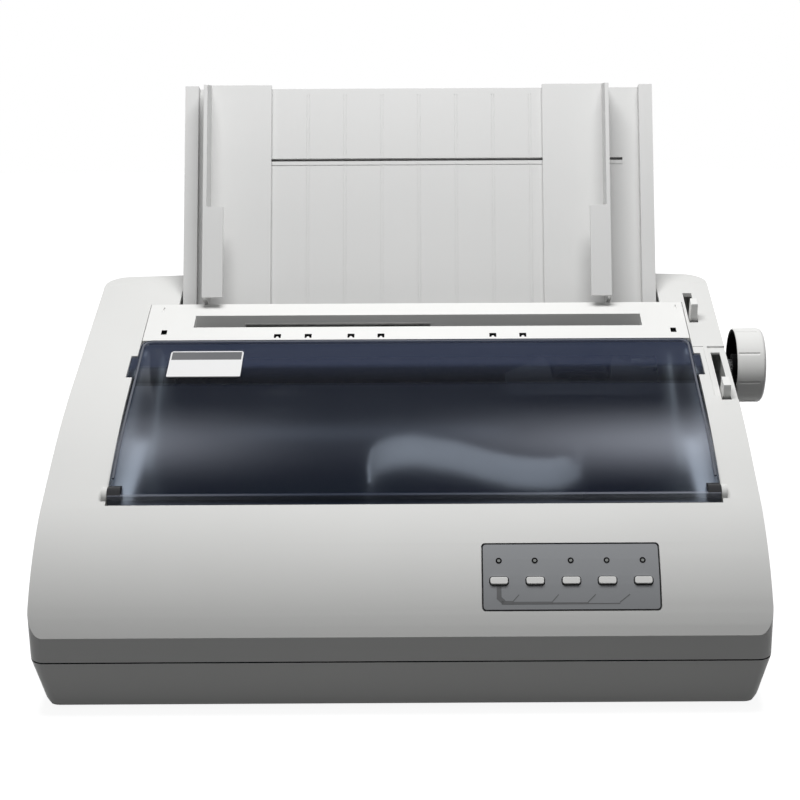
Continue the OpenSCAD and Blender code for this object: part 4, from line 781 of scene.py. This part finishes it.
@dataclass
class Covers:
    """Smoke front cover with its rim and label, and the tear-off cover.

    Attributes:
        left: Left edge of the smoke cover.
        right: Its right edge.
        rear: Its rear edge.
        knuckle_w: Length of a hinge knuckle.
        knuckle_y: Depth behind which no knuckle reaches.
        corner_r: Radius of its rear corners.
        crease: Depth and height above the sill of its crease.
        front_r: Radius of the part in front of the crease.
        rear_deg: Slope of the part behind the crease.
        crease_deg: Slope of the front part where it meets the crease.
        rim_in: How far inside the edge the bead runs.
        rim_w: Width of the bead.
        mark_y: Front and rear edge of the row of small hooked holes, whose walls take painted
            shade.
    """

    left: float = -158.4
    right: float = 172.4
    rear: float = 196.4
    knuckle_w: float = 7.0
    knuckle_y: float = 68.0
    corner_r: float = 7.0
    crease: Place = (145.0, 90.3)
    front_r: float = 505.0
    rear_deg: float = 11.5
    crease_deg: float = 10.0
    rim_in: float = 1.7
    rim_w: float = 1.5
    mark_y: Place = (199.5, 209.3)

    def height(self, y: float) -> float:
        """Return the height of the smoke cover's outer face above the table at a depth."""
        crease_y, crease_z = self.crease
        if y > crease_y:
            return SILL_Z + crease_z + (y - crease_y) * math.tan(math.radians(self.rear_deg))
        centre_y = crease_y + self.front_r * math.sin(math.radians(self.crease_deg))
        centre_z = crease_z - self.front_r * math.cos(math.radians(self.crease_deg))
        return SILL_Z + centre_z + math.sqrt(self.front_r**2 - (centre_y - y) ** 2)

    def dark_edge(self, middle: Vector, normal: Vector) -> bool:
        """Tell whether a face is a knuckle or the turned-down edge, which look nearly black."""
        from_side = min(middle.x - self.left, self.right - middle.x)
        knuckle = from_side < self.knuckle_w + 0.2 and middle.y < self.knuckle_y
        outer = from_side < 0.4 or middle.y > self.rear - 0.4
        tab = from_side < -0.2
        return knuckle or (outer and not tab and abs(normal.z) < 0.6)

    def rim(self) -> None:
        """Run a slim bead round the sides and the rear of the smoke cover."""
        inner = (self.left + self.rim_in, self.right - self.rim_in)
        back = self.rear - self.rim_in
        round_r = self.corner_r - self.rim_in
        sides = [70.0 + 5.0 * i for i in range(24)]
        path = [(inner[0], y) for y in sides if y < back - round_r]
        for i in range(7):
            turn = math.radians(180 - 15 * i)
            x = inner[0] + round_r + round_r * math.cos(turn)
            path.append((x, back - round_r + round_r * math.sin(turn)))
        path += [(inner[1] + inner[0] - x, y) for x, y in reversed(path)]
        deselect()
        curve = bpy.data.curves.new("cover_rim", "CURVE")
        curve.dimensions = "3D"
        curve.bevel_depth = self.rim_w / 2 * MM
        curve.bevel_resolution = 2
        curve.use_fill_caps = True
        line = curve.splines.new("POLY")
        line.points.add(len(path) - 1)
        for point, (x, y) in zip(line.points, path):
            point.co = (*at_case(x, y, self.height(y) - 0.25 * self.rim_w), 1.0)
        bead = bpy.data.objects.new("cover_rim", curve)
        bpy.context.scene.collection.objects.link(bead)
        pick(bead)
        bpy.ops.object.convert(target="MESH")
        bead = bpy.context.object
        bpy.ops.object.shade_smooth()
        bead.data.materials.append(Finish.RIM.material())
        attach(bead, "front_cover")

    def build(self) -> None:
        """Build and dress the covers and the label."""
        MouldedPiece(
            "front_cover", "front_cover", "smoke_plastic", Finish.SMOKE, 0.5, 3, 30.0,
            second=Finish.EDGE, takes_second=self.dark_edge,
        ).dress()
        self.rim()
        MouldedPiece(
            "tear_off_cover",
            "tear_off_cover",
            "white_plastic",
            Finish.WHITE,
            0.25,
            2,
            # The walls of the small hooked holes take painted shade.
            second=Finish.SHADE,
            takes_second=lambda middle, normal: (
                self.mark_y[0] < middle.y < self.mark_y[1] and abs(normal.z) < 0.5
            ),
        ).dress()
        label = MouldedPiece("cover_label", "front_cover", "label_paper", Finish.WHITE, 0.0).build()
        low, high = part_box("cover_label")
        (left, front, _), (right, rear, _) = in_case(low), in_case(high)
        head = (left + 0.9, right - 0.9, front + 0.67 * (rear - front), rear - 1.0)
        # Painted shadow: a dark line along the label's front edge, where its edge shades the cover.
        foot = (left - 1.0, right + 1.0, front - 1.0, front + 1.0)
        film = LabelFilm("label_film", "#E2E2E2", (("#5C5D60", head), ("#1B1C20", foot)))
        label.data.materials.append(film.make())
        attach(label, "front_cover")
        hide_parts("cover_label")


@dataclass
class PaperSupport:
    """Leaning paper support with its two edge guides.

    Attributes:
        edge_mm: Radius of the eased edges.
    """

    edge_mm: float = 0.35

    def build(self) -> None:
        """Build and dress the support and both guides."""
        for node, body in (
            ("paper_support", "paper_support"), ("left_paper_guide", "left_guide"),
            ("right_paper_guide", "right_guide"),
        ):
            MouldedPiece(node, body, "support_plastic", Finish.SUPPORT, self.edge_mm, 2).dress()


@dataclass
class Controls:
    """Control panel with its printed lines, lines of painted shade, buttons, lamps, levers and
    knob.

    Attributes:
        nose_r: Radius of the curved front.
        nose_y: Depth of its centre.
        nose_z: Height of its centre above the table.
        panel_a: Slope of the front at the panel's middle, in degrees.
        panel_x: Left edge of the panel.
        panel_w: Width of the panel.
        print_and_shade_t: Thickness of a printed line and of a line of painted shade.
        pitch: Distance between neighbouring buttons, and between lamps.
        lamp_s: Place of the lamps up from the panel's middle.
        well_s: Place of the buttons down from it.
        knob_axis: Depth and height above the sill of the knob's axis.
        cup_r: Radius inside which the knob's cup lies.
        cup_x: How far right the cup's faces reach.
    """

    nose_r: float = 107.0
    nose_y: float = 107.0 * math.sin(math.radians(62))
    nose_z: float = SILL_Z + 13.0 - 107.0 * math.cos(math.radians(62))
    panel_a: float = 45.1
    panel_x: float = 42.8
    panel_w: float = 93.2
    print_and_shade_t: float = 0.05
    pitch: float = 18.9
    lamp_s: float = 8.5
    well_s: float = 2.6
    knob_axis: Place = (219.0, 73.0)
    cup_r: float = 20.8
    cup_x: float = 218.0

    def on_front(self, x: float, s: float, rise: float) -> Vector:
        """Place a point on the curved front.

        Args:
            x: Distance right of the case's centre.
            s: Distance up along the surface from the panel's middle.
            rise: Height above the surface.

        Returns:
            The point in the printer's frame.
        """
        slope = math.radians(self.panel_a) - s / self.nose_r
        reach = self.nose_r + rise
        return at_case(
            x, self.nose_y - reach * math.sin(slope), self.nose_z + reach * math.cos(slope)
        )

    def stroke(self, start: tuple[float, float], end: tuple[float, float], width: float) -> Piece:
        """Lay one stroke on the panel; printed lines and lines of painted shade are made of these.

        Args:
            start: Distance across and up of its first end, from the panel's middle.
            end: The same for its other end.
            width: Width of the stroke.

        Returns:
            A thin plate wrapped on the curved panel.
        """
        deselect()
        bpy.ops.mesh.primitive_cube_add(size=1)
        plate = bpy.context.object
        bpy.ops.object.mode_set(mode="EDIT")
        bpy.ops.mesh.select_all(action="SELECT")
        bpy.ops.mesh.subdivide(number_cuts=7)
        bpy.ops.object.mode_set(mode="OBJECT")
        run = Vector(end) - Vector(start)
        side = Vector((-run.y, run.x)).normalized() * width
        middle = self.panel_x + self.panel_w / 2
        for vertex in plate.data.vertices:
            along, across, up = vertex.co
            flat = Vector(start) + run * (along + 0.5) + side * across
            vertex.co = self.on_front(middle + flat.x, flat.y, self.print_and_shade_t * (up + 0.5))
        return plate

    def trace(self, name: str, path: list[Place], width: float, finish: Finish) -> None:
        """Lay a line of strokes along a path on the panel and put it on the case.

        Args:
            name: Name of the piece.
            path: Places across and up from the panel's middle.
            width: Width of the line.
            finish: Its finish.
        """
        line = joined(name, [self.stroke(start, end, width) for start, end in zip(path, path[1:])])
        self.lay_print_and_shade(line, finish)

    def lay_print_and_shade(self, line: Piece, finish: Finish) -> None:
        """Give a printed line, and also a line of painted shade, its finish and put it on the case.
        """
        settle(line)
        line.data.materials.clear()
        line.data.materials.append(finish.material())
        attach(line, "case")

    def round_path(self, half_w: float, low: float, high: float, r: float) -> list[Place]:
        """Return a closed path round a rectangle with rounded corners.

        Args:
            half_w: Half its width.
            low: Its lower edge.
            high: Its upper edge.
            r: Radius of its corners.

        Returns:
            Places across and up from the panel's middle, the first one again at the end.
        """
        corners = ((half_w - r, high - r, 0), (r - half_w, high - r, 90),
                   (r - half_w, low + r, 180), (half_w - r, low + r, 270))
        path = [
            (x + r * math.cos(math.radians(a + 30 * i)), y + r * math.sin(math.radians(a + 30 * i)))
            for x, y, a in corners
            for i in range(4)
        ]
        return path + path[:1]

    def print_lines(self) -> None:
        """Build the printed guide lines below the buttons, and lines of painted shade round the
        panel and round each button.
        """
        thick, thin = 2.5, 0.5
        row = [self.pitch * i for i in range(-2, 3)]
        low = -14.1
        strokes = [
            self.stroke((row[0] - 0.1, -5.4), (row[0] - 0.1, low + 2.2), thick),
            self.stroke((row[0] - 0.6, low + 3.0), (row[0] + 2.4, low + 0.2), thick),
            self.stroke((row[0] + 1.2, low), (row[1] - 11.4, low), 1.9),
            self.stroke((row[1] - 11.6, low - 0.2), (row[2] - 10.2, low - 0.2), 1.4),
            self.stroke((row[2] - 10.4, low - 0.4), (row[3] - 10.2, low - 0.4), 0.95),
            self.stroke((row[3] - 10.4, low - 0.6), (row[4] - 12.6, low - 0.6), thin),
        ]
        for i, (left, run) in enumerate(((12.4, 3.8), (10.6, 3.8), (10.6, 4.2), (12.8, 5.4))):
            x = row[i + 1] - left
            strokes.append(self.stroke((x, low), (x + run, low + 4.2), thin))
        self.lay_print_and_shade(joined("panel_lines", strokes), Finish.PRINT)
        half = self.panel_w / 2
        # Painted shade: a dark line round the panel's edge, and one round each button's gap.
        outline = self.round_path(half - 0.2, -18.0, 18.0, 1.9)
        self.trace("panel_outline", outline, 0.6, Finish.SHADE)
        for i, x in enumerate(row):
            edge = self.round_path(4.95, -2.35, 2.2, 1.5)
            well = [(px + x, py - self.well_s) for px, py in edge]
            self.trace(f"button_gap_shade_{i + 1}", well, 0.45, Finish.SHADE)

    def lamp_rings(self) -> None:
        """Set a dark ring in the painted-shade finish round each lamp."""
        rings = []
        middle = self.panel_x + self.panel_w / 2
        for i in range(5):
            x = middle + (i - 2) * self.pitch
            deselect()
            bpy.ops.mesh.primitive_torus_add(
                location=self.on_front(x, self.lamp_s, 0.0),
                rotation=(math.radians(self.panel_a) - self.lamp_s / self.nose_r, 0.0, 0.0),
                major_segments=24, minor_segments=8, major_radius=1.2 * MM, minor_radius=0.42 * MM,
            )
            rings.append(bpy.context.object)
        ring = joined("lamp_rings", rings)
        settle(ring)
        bpy.ops.object.shade_smooth()
        ring.data.materials.append(Finish.SHADE.material())
        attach(ring, "case")

    def in_cup(self, middle: Vector, normal: Vector) -> bool:
        """Tell whether a face of the knob lies inside its cup, which takes painted shade."""
        axis_y, axis_z = self.knob_axis
        reach = math.hypot(middle.y - axis_y, middle.z - SILL_Z - axis_z)
        return reach < self.cup_r and middle.x < self.cup_x

    def build(self) -> None:
        """Build and dress the controls."""
        MouldedPiece("control_panel", "case", "panel_film", Finish.PANEL, 0.15, 2).dress()
        self.print_lines()
        self.lamp_rings()
        for i in range(1, 6):
            MouldedPiece(
                f"button_{i}", f"button_{i}", "white_plastic", Finish.WHITE, 0.6, 4
            ).dress()
        MouldedPiece("status_lamps", "case", "lamp_plastic", Finish.LAMP, 0.5, 3).dress()
        # The knob's cup takes painted shade in place of the shade deep inside it.
        MouldedPiece(
            "platen_knob", "platen", "white_plastic", Finish.WHITE, 0.2, 2, second=Finish.SHADE,
            takes_second=self.in_cup,
        ).dress()
        for node in ("thickness_lever", "release_lever"):
            MouldedPiece(node, node, "white_plastic", Finish.WHITE, 0.4, 3).dress()


@dataclass
class HeadCable:
    """Flat flexible cable that stands on edge and loops from its socket to the carriage.

    Attributes:
        foot: Place of its socket on the main board.
        heights: Its lower and upper edge above the sill.
        thick: Its thickness.
        lean_mm: How far its upper edge stands behind its lower edge.
        fold_x: How far right it folds down to turn into the carriage.
        fold_y: Depth at which that fold starts.
    """

    foot: Place = (-18.0, 82.0)
    heights: Place = (47.4, 63.2)
    thick: float = 0.6
    lean_mm: float = 7.0
    fold_x: float = 94.0
    fold_y: float = 108.0

    def path(self) -> list[Place]:
        """Return the places it passes, in the case frame."""
        x, y = self.foot
        loop = [math.radians(180 - 10 * i) for i in range(13)]
        bend = [math.radians(-90 + 10 * i) for i in range(10)]
        return (
            [(x, y), (x - 1, y + 10), (x, y + 24)]
            + [(4 + 22 * math.cos(a), 108 + 22 * math.sin(a)) for a in loop]
            + [(30.0, 122.0), (46.0, 112.0), (62.0, 104.0), (74.0, 101.4)]
            + [(82 + 19 * math.cos(a), 120 + 19 * math.sin(a)) for a in bend]
            + [(101.5, 128.0), (102.0, 138.3)]
        )

    def build(self) -> None:
        """Build the cable."""
        deselect()
        curve = bpy.data.curves.new("head_cable_band", "CURVE")
        curve.dimensions = "3D"
        curve.extrude = (self.heights[1] - self.heights[0]) / 2 * MM
        line = curve.splines.new("POLY")
        path = self.path()
        line.points.add(len(path) - 1)
        middle = SILL_Z + sum(self.heights) / 2
        for point, (x, y) in zip(line.points, path):
            point.co = (*at_case(x, y, middle), 1.0)
        band = bpy.data.objects.new("head_cable_band", curve)
        bpy.context.scene.collection.objects.link(band)
        pick(band)
        bpy.ops.object.convert(target="MESH")
        band = bpy.context.object
        rise = (self.heights[1] - self.heights[0]) * MM
        for vertex in band.data.vertices:
            above = vertex.co.z - (middle * MM - rise / 2)
            vertex.co.y += (above / rise - 0.5) * self.lean_mm * MM
            place = in_case(vertex.co)
            if place.x > self.fold_x and place.y > self.fold_y:
                vertex.co.z -= above * min((place.y - self.fold_y) / 6.0, 1.0) * 0.75
        wall = band.modifiers.new("wall", "SOLIDIFY")
        wall.thickness = self.thick * MM
        wall.offset = 0.0
        apply_all(band)
        bpy.ops.object.shade_smooth_by_angle(angle=math.radians(40))
        x, y = self.foot
        deselect()
        bpy.ops.mesh.primitive_cube_add(size=MM)
        leg = bpy.context.object
        low = 19.1
        leg.scale = (self.thick, 5.0, SILL_Z + self.heights[1] - low)
        leg.location = at_case(x, y - 1.5, (low + SILL_Z + self.heights[1]) / 2)
        settle(leg)
        band = joined("head_cable_band", [band, leg])
        band.data.materials.append(Finish.CABLE.material())
        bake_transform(band)
        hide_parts("head_cable")


@dataclass
class Mechanism:
    """Everything inside the case."""

    def build(self) -> None:
        """Dress the inner nodes, and give the turned parts smooth copies."""
        for node, body, slot, finish in (
            ("platen_roller", "platen", "platen_rubber", Finish.PLATEN),
            ("platen_shaft", "platen", "bright_steel", Finish.STEEL),
            ("guide_shaft", "thickness_lever", "bright_steel", Finish.OILED),
            ("print_head", "carriage", "head_casting", Finish.HEAD),
            ("ribbon_cartridge", "carriage", "black_plastic", Finish.BLACK),
            ("carriage", "carriage", "black_plastic", Finish.BLACK),
            ("feet", "case", "foot_rubber", Finish.FOOT),
            ("pressure_rollers", "pressure_rollers", "platen_rubber", Finish.PLATEN),
        ):
            MouldedPiece(node, body, slot, finish, 0.3, 2).dress()
        InnerParts(
            {
                Finish.STEEL: ("case_screws", "tractor_shaft", "tractor_rod"),
                Finish.SHEET: ("base_frame", "front_rail"),
                Finish.ZINC: ("left_side_frame", "right_side_frame"),
                Finish.NYLON: ("platen_bushes", "platen_gear", "feed_idler"),
                Finish.BLACK: (
                    "paper_pan", "paper_sensor", "board_chips", "power_inlet", "switch_housing",
                    "power_rocker", "left_tractor", "left_tractor_lid", "right_tractor",
                    "right_tractor_lid",
                ),
                Finish.BOARD: ("main_board", "power_board", "interface_board", "panel_board"),
                Finish.CORE: ("transformer",),
                Finish.PORT: ("parallel_port", "usb_port"),
                Finish.MOTOR: ("feed_motor", "carriage_motor"),
                Finish.BRASS: ("feed_pinion", "drive_pulley", "idler_pulley"),
                Finish.PLATEN: ("timing_belt",),
            }
        ).dress()


# ---- Studio ----


@dataclass
class Studio:
    """Camera, lamps, floor and world.

    Attributes:
        lens_mm: Focal length on a 36 mm wide film.
        pitch_deg: Downward tilt of the camera.
        roll_rad: Turn of the camera about its own axis.
        shift_x: Sideways shift of its film.
        camera_at: Place of the camera in the case frame, in mm.
        ambient: Strength of the backdrop's own light on the printer.
        white_share: Glow of the floor towards the camera.
    """

    lens_mm: float = 76.5
    pitch_deg: float = 24.0
    roll_rad: float = -0.0053
    shift_x: float = -0.048
    camera_at: tuple[float, float, float] = (20.36, -756.67, 484.62 + SILL_Z)
    ambient: float = 0.13
    white_share: float = 0.9

    def camera(self) -> None:
        """Add the camera at the photograph's viewing angle."""
        data = bpy.data.cameras.new("view")
        data.lens = self.lens_mm
        data.sensor_width = 36.0
        data.shift_x = self.shift_x
        data.clip_start = 0.05
        camera = bpy.data.objects.new("view", data)
        turn = Matrix.Rotation(math.radians(90 - self.pitch_deg), 4, "X")
        roll = Matrix.Rotation(self.roll_rad, 4, "Z")
        camera.matrix_world = Matrix.Translation(at_case(*self.camera_at)) @ turn @ roll
        bpy.context.scene.collection.objects.link(camera)
        bpy.context.scene.camera = camera

    def softbox(
        self,
        name: str,
        at: tuple[float, float, float],
        aim: tuple[float, float, float],
        size: tuple[float, float],
        watts: float,
        mirrored: bool,
    ) -> None:
        """Add a soft rectangular lamp.

        Args:
            name: Name of the lamp.
            at: Its place, in metres.
            aim: The point it faces, in metres.
            size: Its width and depth, in metres.
            watts: Its power.
            mirrored: True if glossy and clear surfaces show it.
        """
        data = bpy.data.lights.new(name, "AREA")
        data.shape = "RECTANGLE"
        data.size, data.size_y = size
        data.energy = watts
        lamp = bpy.data.objects.new(name, data)
        lamp.location = at
        lamp.rotation_euler = (Vector(aim) - Vector(at)).to_track_quat("-Z", "Y").to_euler()
        lamp.visible_glossy = mirrored
        lamp.visible_transmission = mirrored
        bpy.context.scene.collection.objects.link(lamp)

    def seen_white(self, tree: Tree) -> Socket:
        """Return a socket that is 1 for rays from the camera, a mirror or glass.

        A ray that has met more than two surfaces gets 0, so the white backdrop lights nothing
        inside the printer.
        """
        rays = add_node(tree, "LightPath").outputs
        seen = rays["Is Camera Ray"]
        for kind in ("Is Glossy Ray", "Is Transmission Ray"):
            seen = add_node(
                tree, "Math", settings={"operation": "MAXIMUM"}, links={0: seen, 1: rays[kind]}
            ).outputs[0]
        for depth, most in (("Ray Depth", 2.5), ("Diffuse Depth", 0.5)):
            early = add_node(
                tree, "Math", settings={"operation": "LESS_THAN"}, values={1: most},
                links={0: rays[depth]},
            ).outputs[0]
            seen = add_node(
                tree, "Math", settings={"operation": "MULTIPLY"}, links={0: seen, 1: early}
            ).outputs[0]
        return seen

    def world(self) -> None:
        """Set a white backdrop that lights the printer only a little."""
        world = bpy.data.worlds.new("studio")
        bpy.context.scene.world = world
        world.use_nodes = True
        tree = world.node_tree
        tree.nodes.clear()
        output = add_node(tree, "OutputWorld")
        dim = add_node(
            tree, "Background", values={"Color": linear("#F2F4F6"), "Strength": self.ambient}
        )
        white = add_node(
            tree, "Background", values={"Color": (1.0, 1.0, 1.0, 1.0), "Strength": 1.0}
        )
        mixed = add_node(
            tree, "MixShader",
            links={0: self.seen_white(tree), 1: dim.outputs[0], 2: white.outputs[0]},
        )
        tree.links.new(mixed.outputs[0], output.inputs["Surface"])

    def floor(self) -> None:
        """Add the pale floor, white to the camera and dim to the printer."""
        deselect()
        bpy.ops.mesh.primitive_plane_add(size=2.4, location=(0.0, -0.35, -0.0002))
        floor = bpy.context.object
        floor.name = "floor"
        material, tree, output = new_material("floor_paper")
        paper = add_node(tree, "BsdfDiffuse", values={"Color": (0.5, 0.5, 0.5, 1.0)})
        dark = add_node(tree, "BsdfDiffuse", values={"Color": (0.12, 0.12, 0.12, 1.0)})
        glow = add_node(
            tree, "Emission", values={"Color": (1.0, 1.0, 1.0, 1.0), "Strength": self.white_share}
        )
        seen = add_node(tree, "AddShader", links={0: paper.outputs[0], 1: glow.outputs[0]})
        mixed = add_node(
            tree, "MixShader",
            links={0: self.seen_white(tree), 1: dark.outputs[0], 2: seen.outputs[0]},
        )
        tree.links.new(mixed.outputs[0], output.inputs["Surface"])
        floor.data.materials.append(material)

    def build(self) -> None:
        """Add everything that isn't the printer."""
        self.camera()
        self.world()
        self.floor()
        self.softbox("overhead", (0.0, -0.03, 0.90), (0.0, -0.03, 0.1), (0.6, 0.3), 6.9, False)
        bpy.context.scene.view_settings.view_transform = "Standard"


def main() -> None:
    """Build the printer and its studio in order."""
    logging.basicConfig(level=logging.INFO, format="%(name)s: %(message)s")
    Studio().build()
    for assembly in (Housing(), Covers(), PaperSupport(), Controls(), HeadCable(), Mechanism()):
        assembly.build()
        LOG.info("%s is done", type(assembly).__name__)


if __name__ == "__main__":
    main()
